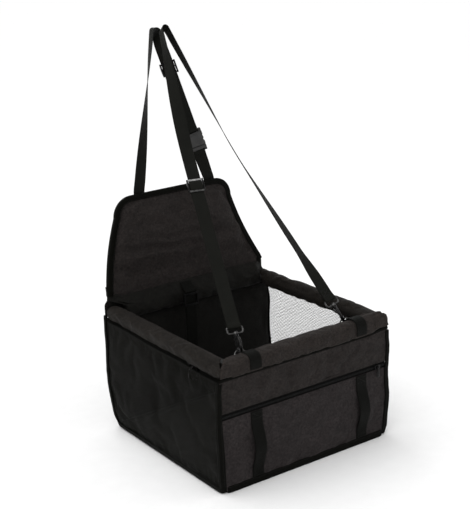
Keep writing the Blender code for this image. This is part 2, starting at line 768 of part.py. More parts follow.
def build_ring_tabs(looks):
    """Webbing round the rim, with its inner end folded round the ring's bar."""
    lift = GAP + WEBBING_THICK / 2
    for name, x in zip(("ring_tab_left", "ring_tab_right"), POCKET_BAND_X):
        centre = Vector((x, FRONT_TUBE_Y, FRAME_Z))
        around = superellipse(
            FRONT_RIM_HALF_WIDTH + lift, RIM_HALF_HEIGHT + lift, RIM_POWER, 48, Y, Z, centre
        )
        start = 48 * 9 // 16  # just above the front seam
        path = [around[i % 48] for i in range(start, -1, -1)]
        bar = ring_bar(x)
        radius = RING_WIRE + GAP + WEBBING_THICK / 2
        path = [p for p in path if not (p.y > FRONT_TUBE_Y and p.z < bar.z + 5 * MM)]
        path.append(Vector((x, bar.y - radius, bar.z + 2 * MM)))
        for i in range(7):
            a = math.pi + math.pi * i / 6
            path.append(bar + radius * (math.cos(a) * Y + math.sin(a) * Z))
        path.append(bar + radius * Y + 4 * MM * Z)
        add_object(name, ribbon(path, [X] * len(path)), looks["webbing"])


def build_rings(looks):
    for name, x in zip(("d_ring_left", "d_ring_right"), POCKET_BAND_X):
        bar, towards = ring_bar(x), leg_direction(x)
        rise = (towards - towards.dot(X) * X).normalized()
        path = [RING_HALF_WIDTH * share * X for share in (-0.96, -0.4, 0.4, 0.96)]
        steps, foot = 12, 2 * MM
        for i in range(steps + 1):
            a = math.pi * i / steps
            height = foot + (RING_HEIGHT - foot) * math.sin(a)
            path.append(RING_HALF_WIDTH * math.cos(a) * X + height * rise)
        shape = tube_along(path, X.cross(rise).normalized(), RING_WIRE, 8, closed=True)
        add_object(name, shape, looks["metal"], Matrix.Translation(bar))


# Swivel snap hooks


def hook_seat(x):
    """Where a hook's bend holds the ring, on the ring's own arc."""
    bar, towards = ring_bar(x), leg_direction(x)
    rise = (towards - towards.dot(X) * X).normalized()
    lift = RING_HEIGHT - RING_WIRE - HOOK_SEAT_GAP - HOOK_WIRE
    side = lift * towards.dot(X) / towards.dot(rise)
    return bar + rise * lift + X * side


def axes_matrix(x_axis, y_axis, z_axis, origin):
    made = Matrix((x_axis, y_axis, z_axis)).transposed().to_4x4()
    made.translation = origin
    return made


def front_hook_frame(x):
    """A frame at the swivel, with Z up the strap and X along the eye's bar."""
    towards = leg_direction(x)
    origin = hook_seat(x) + towards * HOOK_LENGTH
    across = strap_across(FRONT_PEAK, ring_bar(0), FRONT_LEFT_TURN if x < 0 else FRONT_RIGHT_TURN)
    if x > 0:
        across = -across
    across = (across - across.dot(towards) * towards).normalized()
    return axes_matrix(across, towards.cross(across), towards, origin)


def build_eye(name, frame, looks):
    """A rectangular wire eye with a bored boss for the swivel."""
    half = WEBBING / 2 + 0.6 * MM + RING_WIRE
    path = []
    for quarter, (sign_x, sign_z) in enumerate(((1, 1), (-1, 1), (-1, -1), (1, -1))):
        corner = EYE_CORNER_TOP if sign_z > 0 else EYE_CORNER_FOOT
        centre_x = sign_x * (half - corner)
        centre_z = EYE_HEIGHT - corner if sign_z > 0 else corner
        for i in range(3):
            a = math.pi / 2 * (quarter + i / 2)
            x, z = centre_x + corner * math.cos(a), centre_z + corner * math.sin(a)
            path.append(Vector((x, 0, z)))
    eye = add_object(name, tube_along(path, Y, RING_WIRE, 8, closed=True), looks["metal"], frame)
    boss = helper(name + "_boss", turned([(4.2 * MM, -2 * MM), (4.2 * MM, 2 * MM)], 16), frame)
    join_or_cut(eye, [boss], "UNION")
    bore = helper(name + "_bore", turned([(2.4 * MM, -4 * MM), (2.4 * MM, 4 * MM)], 16), frame)
    return join_or_cut(eye, [bore], "DIFFERENCE")


def hook_path():
    """The hook's centre line, from under the swivel round the bend to its tip."""
    neck = ((0, -4.5), (-2.5, -8), (-7.5, -11.5), (-10.4, -17))
    points = [Vector((x * MM, 0, z * MM)) for x, z in neck]
    middle = Z * (HOOK_HALF_WIDTH - HOOK_LENGTH)
    steps, past_half = 9, math.radians(8)
    for i in range(steps + 1):
        a = math.pi + (math.pi + past_half) * i / steps
        points.append(middle + HOOK_HALF_WIDTH * (math.cos(a) * X + math.sin(a) * Z))
    return points


def build_hook(prefix, frame, turn, looks):
    """The hook with its swivel stem and gate ears, and the gate that closes it."""
    at = frame @ Matrix.Rotation(turn, 4, "Z")
    path = hook_path()
    radii = [4.2 * MM, 3.6 * MM, 3.1 * MM, 3 * MM] + [HOOK_WIRE] * (len(path) - 5) + [2.2 * MM]
    hook = add_object(prefix + "_hook", tube_along(path, Y, radii, 8), looks["metal"], at)
    stem = [
        (4.4 * MM, -5.4 * MM),
        (4.6 * MM, -2.4 * MM),
        (2 * MM, -2.4 * MM),
        (2 * MM, 2.4 * MM),
        (3.6 * MM, 2.4 * MM),
        (3.2 * MM, 4.2 * MM),
    ]
    parts = [helper(prefix + "_stem", turned(stem, 12), at)]
    pivot_x, pivot_z = GATE_PIVOT
    for i, sign in enumerate((-1, 1)):
        near, far = sorted((sign * EAR_IN, sign * EAR_OUT))
        low = (1 * MM, near, pivot_z - 1.9 * MM)
        high = (pivot_x + 1.6 * MM, far, -3.2 * MM)
        parts.append(helper(f"{prefix}_ear_{i}", block(low, high), at))
    ends = [Vector((pivot_x, y, pivot_z)) for y in (-3 * MM, 3 * MM)]
    pin = [circle(end, GATE_PIN, X, Z, 8) for end in ends]
    parts.append(helper(prefix + "_gate_pin", loft(pin), at))
    join_or_cut(hook, parts, "UNION")
    build_gate(prefix, at, looks)


def build_gate(prefix, at, looks):
    """A sprung lever from the pin under the swivel to the inside of the hook's tip."""
    pivot_x, pivot_z = GATE_PIVOT
    pivot = at @ Matrix.Translation((pivot_x, 0, pivot_z))
    tip = hook_path()[-1] - Vector((pivot_x, 0, pivot_z))
    outline = [
        (-1.9 * MM, 0.6 * MM),
        (-1.4 * MM, 1.6 * MM),
        (0.4 * MM, 2 * MM),
        (1.9 * MM, 1 * MM),
        (3.4 * MM, -4.5 * MM),
        (6.2 * MM, -6 * MM),
        (6.4 * MM, -8 * MM),
        (tip.x + 2 * MM, tip.z + 5 * MM),
        (tip.x + 1.6 * MM, tip.z + 2.8 * MM),
        (tip.x - 1.8 * MM, tip.z + 2.8 * MM),
        (0.6 * MM, -5 * MM),
        (-1.7 * MM, -1.2 * MM),
    ]
    flat = [Vector((x, 0, z)) for x, z in outline]
    lever = prism(flat, -Y * GATE_HALF, Y * GATE_HALF)
    gate = add_object(prefix + "_gate", lever, looks["metal"], pivot, smooth=False)
    bore = loft([circle(Y * y, GATE_PIN + 0.25 * MM, X, Z, 12) for y in (-4 * MM, 4 * MM)])
    join_or_cut(gate, [helper(prefix + "_gate_bore", bore, pivot)], "DIFFERENCE")


# Straps


def strap_across(peak, foot_middle, angle):
    """The width direction of a strap hung on its peak, turned by an angle."""
    down = (foot_middle - peak).normalized()
    normal = X.cross(down).normalized()
    if normal.y < 0:
        normal = -normal
    return math.cos(angle) * X + math.sin(angle) * normal


def fold_round(bar, along, out, bar_radius):
    """Webbing round a bar, from the layer behind it to the layer in front.

    along is the way that both layers leave the bar, and out is the side of the last one.
    """
    wrap = bar_radius + GAP + WEBBING_THICK / 2
    close = (WEBBING_THICK + LAYER_GAP) / 2
    points = [bar + along * 11 * MM - out * close, bar + along * 5 * MM - out * (wrap * 0.82)]
    for i in range(7):
        a = math.pi * i / 6
        points.append(bar - wrap * (math.sin(a) * along + math.cos(a) * out))
    points.append(bar + along * 5 * MM + out * (wrap * 0.82))
    points.append(bar + along * 11 * MM + out * close)
    return points


def sewn_end(bar, along, out, bar_radius=RING_WIRE):
    """Webbing folded round a bar, with its end sewn down behind the leg that leaves."""
    close = (WEBBING_THICK + LAYER_GAP) / 2
    return [bar + along * SEWN_RETURN - out * close, *fold_round(bar, along, out, bar_radius)]


def doubled_end(bar, along, out, glide, bar_radius=RING_WIRE):
    """Webbing sewn to a glide, led down behind the leg, round a bar and up again."""
    start = glide_fold(glide)
    fold = fold_round(bar, along, out, bar_radius)
    return start + spread_points(start[-1], fold[0], STRAP_PITCH) + fold


def glide_bar_depth():
    """How far behind the webbing's middle a glide's sewn bar lies."""
    return WEBBING_THICK / 2 + GAP + GLIDE_BAR + GAP + WEBBING_THICK


def glide_fold(frame):
    """The webbing's end, sewn round a glide's middle bar, in the order that it runs."""
    layer = WEBBING_THICK + LAYER_GAP
    wrap = GLIDE_BAR + GAP + WEBBING_THICK / 2
    depth = glide_bar_depth()
    points = [(layer, -GLIDE_RETURN), (layer, -6 * MM)]
    for i in range(7):
        a = math.pi * i / 6
        points.append((depth - wrap * math.cos(a), wrap * math.sin(a)))
    points += [(2 * layer + 1 * MM, -8 * MM), (2 * layer, -14 * MM)]
    points += [(2 * layer, -GLIDE_RETURN - 2 * MM), (layer, -GLIDE_RETURN - 14 * MM)]
    return [frame @ Vector((0, y, z)) for y, z in points]


def spread_points(start, end, pitch):
    """Evenly spaced points from start to end, without the ends."""
    count = max(int((end - start).length / pitch), 1)
    return [start.lerp(end, i / count) for i in range(1, count)]


def soft_bend(start, bend, end):
    """Points of a leg from start to end that turns softly at its bend, without the ends."""
    first = bend + (start - bend).normalized() * SAG_REACH
    last = bend + (end - bend).normalized() * SAG_REACH
    points = spread_points(start, first, STRAP_PITCH)
    for i in range(7):
        t = i / 6
        points.append(first * (1 - t) ** 2 + bend * 2 * t * (1 - t) + last * t**2)
    return points + spread_points(last, end, STRAP_PITCH)


def peak_turn(before, peak, after):
    """The strap's bend over its hanger: its top is the peak, and it is tangent to both legs."""
    half = (before - peak).angle(after - peak) / 2
    up = -((before - peak).normalized() + (after - peak).normalized()).normalized()
    vertex = peak + up * PEAK_BEND * (1 / math.sin(half) - 1)
    centre = peak - up * PEAK_BEND
    reach = PEAK_BEND / math.tan(half)
    start = vertex + (before - vertex).normalized() * reach
    end = vertex + (after - vertex).normalized() * reach
    spoke, last = (start - centre).normalized(), (end - centre).normalized()
    return [centre + PEAK_BEND * spoke.slerp(last, i / 8) for i in range(9)]


def length_of(path):
    return sum((b - a).length for a, b in zip(path, path[1:]))


def twist_along(path, knots, peak, foot_middle):
    """The width direction at each point, from knots of (length along, angle)."""
    found, done = [], 0.0
    for i, point in enumerate(path):
        if i:
            done += (point - path[i - 1]).length
        found.append(strap_across(peak, foot_middle, between_knots(knots, done)))
    return found


def build_front_strap(looks):
    frames = [front_hook_frame(x) for x in POCKET_BAND_X]
    bars = [f @ Vector((0, 0, EYE_HEIGHT)) for f in frames]
    alongs = [f.to_3x3() @ Z for f in frames]
    fronts = [f.to_3x3() @ -Y for f in frames]
    close = (WEBBING_THICK + LAYER_GAP) / 2
    glide = frames[0].copy()
    glide.translation = bars[0] + fronts[0] * close + alongs[0] * FRONT_GLIDE_AT
    left = doubled_end(bars[0], alongs[0], fronts[0], glide)
    right = sewn_end(bars[1], alongs[1], fronts[1])[::-1]
    bends = [
        left[-1] + alongs[0] * (leg_bend(POCKET_BAND_X[0]) - bars[0]).length,
        right[0] + alongs[1] * (leg_bend(POCKET_BAND_X[1]) - bars[1]).length,
    ]
    top = peak_turn(bends[0], FRONT_PEAK, bends[1])
    rise = left + soft_bend(left[-1], bends[0], top[0])
    path = rise + top + soft_bend(top[-1], bends[1], right[0]) + right
    peak_at, total = length_of(rise + top[:5]), length_of(path)
    free_from = length_of(left) + FRONT_GLIDE_AT + GLIDE_TRAVEL
    knots = [
        (free_from, FRONT_LEFT_TURN),
        (peak_at, FRONT_PEAK_TURN),
        (total - length_of(right) - 60 * MM, FRONT_RIGHT_TURN),
    ]
    across = twist_along(path, knots, FRONT_PEAK, ring_bar(0))
    across[: len(left)] = [frames[0].to_3x3() @ X] * len(left)
    across[-len(right) :] = [frames[1].to_3x3() @ -X] * len(right)
    add_object("front_strap", ribbon(path, across), looks["webbing"])
    for side, frame, turn in zip(("left", "right"), frames, FRONT_HOOK_TURN):
        build_eye(f"hook_eye_{side}", frame, looks)
        build_hook(f"snap_{side}", frame, turn, looks)
    build_glide("front_strap_glide", glide, looks)


def strap_frame(origin, along, across):
    """A frame on a strap: Z along it, X across it, -Y out of the side that shows."""
    across = (across - across.dot(along) * along).normalized()
    return axes_matrix(across, along.cross(across), along, origin)


def build_glide(name, frame, looks):
    """A three bar slider. Its end bars lie in front of the webbing, its sewn bar behind."""
    half_x = WEBBING / 2 + GLIDE_SLACK
    half_z = GLIDE_LENGTH / 2
    near, far = WEBBING_THICK / 2 + GAP, WEBBING_THICK / 2 + GAP + 1.8 * MM
    depth = glide_bar_depth()
    rail_outline = [
        (-far, -half_z),
        (-far, half_z),
        (near, half_z),
        (depth + GLIDE_BAR, GLIDE_BAR + 1.6 * MM),
        (depth + GLIDE_BAR, -GLIDE_BAR - 1.6 * MM),
        (near, -half_z),
    ]
    flat = [Vector((0, y, z)) for y, z in rail_outline]
    rail = prism(flat, X * half_x, X * (half_x + GLIDE_RAIL))
    glide = add_object(name, rail, looks["plastic"], frame, smooth=False)
    parts = [helper(name + "_rail", prism(flat, -X * (half_x + GLIDE_RAIL), -X * half_x), frame)]
    inside = half_x + GLIDE_RAIL * 0.6
    for i, low_z in enumerate((half_z - GLIDE_FACE_BAR - 0.4 * MM, -half_z + 0.4 * MM)):
        bar = block((-inside, -far + 0.1 * MM, low_z), (inside, -near, low_z + GLIDE_FACE_BAR))
        parts.append(helper(f"{name}_bar_{i}", bar, frame))
    sewn = [circle(Vector((x, depth, 0)), GLIDE_BAR, Y, Z, 8) for x in (-inside, inside)]
    parts.append(helper(name + "_sewn_bar", loft(sewn), frame))
    return join_or_cut(glide, parts, "UNION")


# Backrest


def on_backrest(x, up, out):
    """A point of the leaning backrest: up from its seam, out of its front face."""
    turned_by = Matrix.Rotation(-BACKREST_LEAN, 3, "X")
    return HINGE + turned_by @ Vector((x, -out, up))


def backrest_half_width(up):
    """Half of the backrest's width at a height above its seam."""
    straight = BACKREST_HEIGHT - BACKREST_CORNER
    slope = (BACKREST_FOOT_HALF - BACKREST_TOP_HALF) / straight
    if up <= straight:
        return BACKREST_FOOT_HALF - slope * max(up, 0)
    rise = min(up - straight, BACKREST_CORNER)
    return BACKREST_TOP_HALF - BACKREST_CORNER + math.sqrt(BACKREST_CORNER**2 - rise**2)


def backrest_levels():
    """Heights of the backrest's sections, closer together at its round corners."""
    straight = BACKREST_HEIGHT - BACKREST_CORNER
    levels = [straight * i / 8 for i in range(9)]
    levels += [straight + BACKREST_CORNER * math.sin(math.pi / 2 * i / 5) for i in range(1, 6)]
    return levels


def build_backrest(looks):
    half = BACKREST_THICK / 2
    holder = bpy.data.objects.new("backrest_hinge", None)
    bpy.context.scene.collection.objects.link(holder)
    holder.matrix_world = Matrix.Translation(HINGE) @ Matrix.Rotation(-BACKREST_LEAN, 4, "X")
    columns = 12

    def section(up, thick, crowned):
        wide = backrest_half_width(up)
        front, back = [], []
        bound = wide - BINDING_WIDTH
        places = [-wide + 2 * MM, wide - 2 * MM]
        places[1:1] = [bound * (2 * i / columns - 1) for i in range(columns + 1)]
        for x in places:
            inset = min(wide - abs(x), BACKREST_HEIGHT - up, up + 10 * MM) - BINDING_WIDTH
            rise = BACKREST_CROWN * smoothstep(inset / (45 * MM)) if crowned else 0
            front.append(Vector((x, -thick - rise, up)))
            back.append(Vector((x, thick, up)))
        return [Vector((-wide, 0, up)), *front, Vector((wide, 0, up)), *reversed(back)]

    rings = []
    for i in (3, 2, 1):
        a = math.pi / 2 * i / 3.4
        rings.append(section(-half * math.sin(a), half * math.cos(a), False))
    for up in backrest_levels():
        rings.append(section(up, half, 0 < up < BACKREST_HEIGHT))
    cushion = add_object("backrest_pad", loft(rings), looks["oxford"])
    cushion.parent = holder
    slot_half = BACKREST_TOP_HALF - BACKREST_CORNER
    slot_top = BACKREST_HEIGHT - STIFFENER_DROP
    slot = STIFFENER_THICK / 2 + GAP
    cut = helper("stiffener_slot", block((-slot_half, -slot, -2 * half), (slot_half, slot, slot_top)))
    cut.parent = holder
    join_or_cut(cushion, [cut], "DIFFERENCE")
    board = block(
        (-slot_half + GAP, -STIFFENER_THICK / 2, half),
        (slot_half - GAP, STIFFENER_THICK / 2, slot_top - GAP),
    )
    stiffener = add_object("backrest_stiffener", board, looks["board"], smooth=False)
    stiffener.parent = holder
    build_backrest_binding(looks, holder)


def build_backrest_binding(looks, holder):
    """Tape folded over the backrest's edge, up one side, over the top and down."""
    start = BACKREST_THICK / 2 + 2.5 * MM
    levels = [start] + [up for up in backrest_levels() if up > start + 4 * MM]
    side = [Vector((backrest_half_width(up), 0, up)) for up in levels]
    path = [Vector((-p.x, 0, p.z)) for p in side] + side[::-1]
    face = BACKREST_THICK / 2 + GAP
    skin = face + BACKREST_SKIN
    rings = []
    for i, point in enumerate(path):
        before, after = path[max(i - 1, 0)], path[min(i + 1, len(path) - 1)]
        ahead = (after - before).normalized()
        out = ahead.cross(-Y).normalized()
        if out.dot(point - Vector((0, 0, BACKREST_HEIGHT / 2))) < 0:
            out = -out
        section = [
            (-BINDING_WIDTH + 2 * MM, -skin),
            (1 * MM, -skin),
            (2 * MM, 0),
            (1 * MM, skin),
            (-BINDING_WIDTH + 2 * MM, skin),
            (-BINDING_WIDTH + 2 * MM, face),
            (GAP, face),
            (GAP, -face),
            (-BINDING_WIDTH + 2 * MM, -face),
        ]
        rings.append([point + out * a + Y * b for a, b in section])
    tape = add_object("backrest_binding", loft(rings), looks["binding"])
    tape.parent = holder


# Headrest strap and buckle


def behind_binding():
    """How far behind the backrest's middle the webbing sewn to its back lies."""
    return -(BACKREST_THICK / 2 + 2 * GAP + BACKREST_SKIN + WEBBING_THICK / 2)


def headrest_foot(sign):
    """Where a leg of the headrest strap leaves the top of the backrest, behind it."""
    return on_backrest(sign * HEADREST_FOOT_X, BACKREST_HEIGHT + 3 * MM, behind_binding())


def headrest_sewn(sign):
    """The strap's sewn stretch behind the backrest, from its end up to the top."""
    ups = (BACKREST_HEIGHT - 34 * MM, BACKREST_HEIGHT - 12 * MM)
    sewn = [on_backrest(sign * HEADREST_FOOT_X, up, behind_binding()) for up in ups]
    return [*sewn, headrest_foot(sign)]


def headrest_middle():
    return (headrest_foot(-1) + headrest_foot(1)) / 2


def buckle_frame():
    """A frame at the socket's mouth, with Z up the right leg."""
    leg = (HEADREST_PEAK - headrest_foot(1)).normalized()
    origin = headrest_foot(1) + leg * (BUCKLE_HEIGHT + PLUG_BASE)
    across = -strap_across(HEADREST_PEAK, headrest_middle(), BUCKLE_TURN)
    return strap_frame(origin, leg, across)


def build_headrest_strap(looks):
    frame = buckle_frame()
    along, front = frame.to_3x3() @ Z, frame.to_3x3() @ -Y
    socket_bar = frame @ Vector((0, 0, SOCKET_LENGTH - BUCKLE_BAR))
    plug_bar = frame @ Vector((0, 0, -PLUG_BASE + BUCKLE_BAR))
    close = (WEBBING_THICK + LAYER_GAP) / 2
    glide = frame.copy()
    glide.translation = socket_bar + front * close + along * HEADREST_GLIDE_AT
    left = headrest_sewn(-1)
    doubled = doubled_end(socket_bar, along, front, glide, BUCKLE_BAR)
    straight = doubled[-1] + along * (HEADREST_GLIDE_AT + GLIDE_TRAVEL)
    right = [straight, *spread_points(straight, doubled[-1], STRAP_PITCH), *doubled[::-1]]
    top = peak_turn(left[-1], HEADREST_PEAK, straight)
    rise = left + spread_points(left[-1], top[0], STRAP_PITCH)
    path = rise + top + spread_points(top[-1], straight, STRAP_PITCH) + right
    knots = [
        (length_of(left), 0.0),
        (length_of(rise + top[:5]), HEADREST_PEAK_TURN),
        (length_of(path) - length_of(right), BUCKLE_TURN),
    ]
    across = twist_along(path, knots, HEADREST_PEAK, headrest_middle())
    across[-len(right) :] = [frame.to_3x3() @ -X] * len(right)
    add_object("headrest_strap", ribbon(path, across), looks["webbing"])
    build_glide("headrest_strap_glide", glide, looks)
    tail = headrest_sewn(1)
    fold_over = sewn_end(plug_bar, -along, front, BUCKLE_BAR)[::-1]
    path = tail + spread_points(tail[-1], fold_over[0], 12 * MM) + fold_over
    start = length_of(tail)
    knots = [(start, math.radians(180)), (start + (fold_over[0] - tail[-1]).length, BUCKLE_TURN)]
    across = twist_along(path, knots, HEADREST_PEAK, headrest_middle())
    across[-len(fold_over) :] = [frame.to_3x3() @ -X] * len(fold_over)
    add_object("headrest_strap_tail", ribbon(path, across), looks["webbing"])
    build_socket(frame, looks)
    build_plug(frame, looks)


def bar_cuts(bar_z, side):
    """What a webbing bar leaves open: a slot behind it, its outer edge and both faces.

    side is 1 where the webbing leaves upward, and -1 where it leaves downward.
    """
    reach, deep, beyond = WEBBING / 2 + 0.6 * MM, 9 * MM, 6 * MM
    half_z, half_y = 1.9 * MM, 1.4 * MM
    runs = [
        (-half_z - 4.6 * MM, -half_z, -deep, deep),
        (half_z, beyond, -deep, deep),
        (-half_z - 0.4 * MM, beyond, -deep, -half_y),
        (-half_z - 0.4 * MM, beyond, half_y, deep),
    ]
    cuts = []
    for near, far, low_y, high_y in runs:
        low_z, high_z = sorted((bar_z + side * near, bar_z + side * far))
        cuts.append(block((-reach, low_y, low_z), (reach, high_y, high_z)))
    return cuts


def build_socket(frame, looks):
    """The buckle's hollow half, with a window in each side for the arms."""
    half_x, half_y = BUCKLE_HALF_WIDTH, 5.5 * MM
    body = block((-half_x, -half_y, 0), (half_x, half_y, SOCKET_LENGTH), 1.6 * MM)
    socket = add_object("buckle_socket", body, looks["plastic"], frame, smooth=False)
    cavity = block((-15.4 * MM, -3.3 * MM, -2 * MM), (15.4 * MM, 3.3 * MM, 25.5 * MM))
    windows = block((-24 * MM, -3.3 * MM, 8 * MM), (24 * MM, 3.3 * MM, 21 * MM))
    cuts = [cavity, windows, *bar_cuts(SOCKET_LENGTH - BUCKLE_BAR, 1)]
    cut_helpers = [helper(f"socket_cut_{i}", s, frame) for i, s in enumerate(cuts)]
    join_or_cut(socket, cut_helpers, "DIFFERENCE")


def build_plug(frame, looks):
    """The buckle's other half: a base with a middle tongue, and two sprung arms."""
    half_x, half_y = BUCKLE_HALF_WIDTH, 4 * MM
    base = block((-half_x, -half_y, -PLUG_BASE), (half_x, half_y, -GAP), 1.2 * MM)
    plug = add_object("buckle_plug", base, looks["plastic"], frame, smooth=False)
    tongue = block((-3 * MM, -2.6 * MM, -3 * MM), (3 * MM, 2.6 * MM, 23 * MM), 0.6 * MM)
    join_or_cut(plug, [helper("plug_tongue", tongue, frame)], "UNION")
    cuts = bar_cuts(-PLUG_BASE + BUCKLE_BAR, -1)
    for sign in (-1, 1):
        inner, outer = sorted((sign * 8 * MM, sign * 14 * MM))
        cuts.append(block((inner, -3 * MM, -3 * MM), (outer, 3 * MM, 3 * MM)))
    cut_helpers = [helper(f"plug_cut_{i}", s, frame) for i, s in enumerate(cuts)]
    join_or_cut(plug, cut_helpers, "DIFFERENCE")
    for name, sign in (("buckle_arm_left", -1), ("buckle_arm_right", 1)):
        pivot = frame @ Matrix.Translation((sign * 11 * MM, 0, -1 * MM))
        outline = [
            (-1.5 * MM, -1.0 * MM),
            (0, -1.6 * MM),
            (1.5 * MM, -1.0 * MM),
            (1.8 * MM, 8 * MM),
            (7.6 * MM, 12.2 * MM),
            (8.4 * MM, 15 * MM),
            (7 * MM, 20.4 * MM),
            (3 * MM, 22 * MM),
            (-0.4 * MM, 22 * MM),
            (-1.4 * MM, 14 * MM),
        ]
        flat = [Vector((sign * x, 0, z)) for x, z in outline]
        arm = prism(flat, -Y * 2.5 * MM, Y * 2.5 * MM)
        add_object(name, arm, looks["plastic"], pivot, smooth=False)


# Tether


def rear_skin(index, off):
    """A point of the rear channel's curve, moved out from its surface."""
    points = back_rim_outline()[2:]
    ahead = (points[index + 1] - points[index - 1]).normalized()
    return points[index] + ahead.cross(X) * off


def build_tether(looks):
    """A short leash that hangs down the back wall from its sewn top end."""
    top = rear_skin(1, GAP + WEBBING_THICK / 2) + X * TETHER_X
    hang_y = HALF_D - BACK_RIM_REACH - GAP - glide_bar_depth() - GLIDE_BAR - TETHER_CLEARANCE
    close = (WEBBING_THICK + LAYER_GAP) / 2
    bar = Vector((TETHER_X, hang_y + close, top.z - TETHER_LENGTH))
    glide = axes_matrix(X, Y, Z, Vector((TETHER_X, hang_y, top.z - TETHER_GLIDE_DROP)))
    doubled = doubled_end(bar, Z, -Y, glide)
    free = Vector((TETHER_X, hang_y, top.z - TETHER_SEWN))
    path = [top, free, *spread_points(free, doubled[-1], STRAP_PITCH), *doubled[::-1]]
    add_object("tether_strap", ribbon(path, [X] * len(path)), looks["webbing"])
    swivel = axes_matrix(X, Y, Z, bar - Z * EYE_HEIGHT)
    build_eye("tether_eye", swivel, looks)
    build_hook("tether", swivel, 0.0, looks)
    build_glide("tether_glide", glide, looks)


def build():
    clear_scene()
    looks = make_materials()
    build_bindings(looks)
    build_floor(looks)
    build_front(looks)
    build_back(looks)
    build_nets(looks)
    build_frame(looks)
    build_rim(looks)
    build_zip(looks)
    build_pocket_bands(looks)
    build_ring_tabs(looks)
    build_rings(looks)
    build_front_strap(looks)
    build_backrest(looks)
    build_headrest_strap(looks)
    build_tether(looks)
    bpy.context.view_layer.update()


build()
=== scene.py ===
"""Looks of the pet booster chair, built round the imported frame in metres.

The soft pieces, straps and hardware are modelled finely over the CAD solids that they
replace. Tubes, elbows and boards keep their CAD shape.
"""

import json
import math

import bmesh
import bpy
import numpy as np
from mathutils import Matrix, Vector, noise

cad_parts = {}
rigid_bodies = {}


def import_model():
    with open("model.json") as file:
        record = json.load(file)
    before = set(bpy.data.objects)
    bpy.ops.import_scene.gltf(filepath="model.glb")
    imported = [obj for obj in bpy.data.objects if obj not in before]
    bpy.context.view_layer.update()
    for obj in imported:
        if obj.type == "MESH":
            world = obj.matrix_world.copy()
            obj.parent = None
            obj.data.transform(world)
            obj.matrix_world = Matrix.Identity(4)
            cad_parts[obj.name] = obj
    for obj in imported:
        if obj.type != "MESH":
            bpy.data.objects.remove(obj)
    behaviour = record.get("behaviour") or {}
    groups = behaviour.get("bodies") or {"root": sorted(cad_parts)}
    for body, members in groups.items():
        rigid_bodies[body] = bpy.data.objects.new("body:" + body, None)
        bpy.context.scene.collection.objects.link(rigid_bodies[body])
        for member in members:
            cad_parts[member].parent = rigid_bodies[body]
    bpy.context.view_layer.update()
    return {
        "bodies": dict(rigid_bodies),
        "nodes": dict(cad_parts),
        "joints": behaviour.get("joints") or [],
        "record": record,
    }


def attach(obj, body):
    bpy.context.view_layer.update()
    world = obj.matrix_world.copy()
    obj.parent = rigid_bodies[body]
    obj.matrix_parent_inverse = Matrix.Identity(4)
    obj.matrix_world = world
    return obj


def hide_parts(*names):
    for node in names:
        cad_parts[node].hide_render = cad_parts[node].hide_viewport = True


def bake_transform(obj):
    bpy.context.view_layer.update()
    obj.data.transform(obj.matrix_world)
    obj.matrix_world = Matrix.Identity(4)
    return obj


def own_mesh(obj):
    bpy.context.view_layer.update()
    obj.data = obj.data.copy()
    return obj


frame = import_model()

MM = 0.001
GAP = 0.3 * MM
X, Y, Z = Vector((1, 0, 0)), Vector((0, 1, 0)), Vector((0, 0, 1))
SIDES = (("left", -1), ("right", 1))

# The frame's own sizes
BODY_WIDTH = 396 * MM
BODY_DEPTH = 386 * MM
RIM_TOP = 268 * MM
BINDING_WIDTH = 12 * MM
BINDING_THICK = 2 * MM
UPRIGHT_BINDING = 0.55
FOOT_ROUND = 9 * MM
PLAN_ROUND = 16 * MM
OUTER_CLOTH = 1.5 * MM
MESH_THICK = 1.2 * MM
FRONT_PAD = 6 * MM
BACK_PAD = 8 * MM
POCKET_DEPTH = 2.5 * MM
BOARD_THICK = 3 * MM
FLOOR_PAD_THICK = 12 * MM
RIM_HALF_HEIGHT = 20.5 * MM
FRONT_RIM_HALF_WIDTH = 18 * MM
SIDE_RIM_HALF_WIDTH = 17 * MM
SIDE_RIM_DROP = 17 * MM
FRONT_RIM_SINK = 6 * MM
FRONT_RIM_RISE = 17.5 * MM
LEFT_RIM_LIFT = 8 * MM
SIDE_RIM_INNER = 12 * MM
LEFT_RIM_RISE = 12.5 * MM
RIGHT_RIM_RISE = 17.5 * MM
SLEEVE_ROOM = 11.3 * MM
RIM_OVERHANG = 3 * MM
BACK_RIM_REACH = 27 * MM
BACK_RIM_HEIGHT = 49 * MM
BACK_RIM_TOP = 285 * MM
BACK_SHEET = 3 * MM
ZIP_HEIGHT = 154 * MM
ZIP_SLOT = 10 * MM
ZIP_TAPE = 22 * MM
ZIP_SHOWS = 13 * MM
COIL_WIDTH = 5 * MM
COIL_PROUD = 0.6 * MM
SLIDER_LENGTH = 14 * MM
POCKET_BAND_X = (-120 * MM, 136 * MM)
BAND_SEWN = 17 * MM
BAND_BOW = 12 * MM
WEBBING = 26 * MM
WEBBING_THICK = 1.4 * MM
LAYER_GAP = 0.4 * MM
HALF_LAYER = (WEBBING_THICK + LAYER_GAP) / 2
RING_WIRE = 1.6 * MM
RING_HALF_WIDTH = 15.5 * MM
RING_HEIGHT = 20 * MM
RING_DROP = 11 * MM
HOOK_LENGTH = 38 * MM
HOOK_HALF_WIDTH = 11 * MM
HOOK_WIRE = 2.7 * MM
HOOK_SEAT_GAP = 1.5 * MM
EYE_HEIGHT = 12 * MM
EYE_CORNER_TOP = 2 * MM
EYE_CORNER_FOOT = 5 * MM
GATE_PIVOT = (6.2 * MM, -9.4 * MM)
FRONT_HOOK_TURN = (math.radians(93), math.radians(58))
GLIDE_LENGTH = 28 * MM
GLIDE_RAIL = 3 * MM
GLIDE_SLACK = 1 * MM
GLIDE_BAR = 1.25 * MM
GLIDE_FACE_BAR = 3.8 * MM
GLIDE_TRAVEL = 40 * MM
SEWN_RETURN = 26 * MM
GLIDE_RETURN = 20 * MM
STRAP_PITCH = 24 * MM
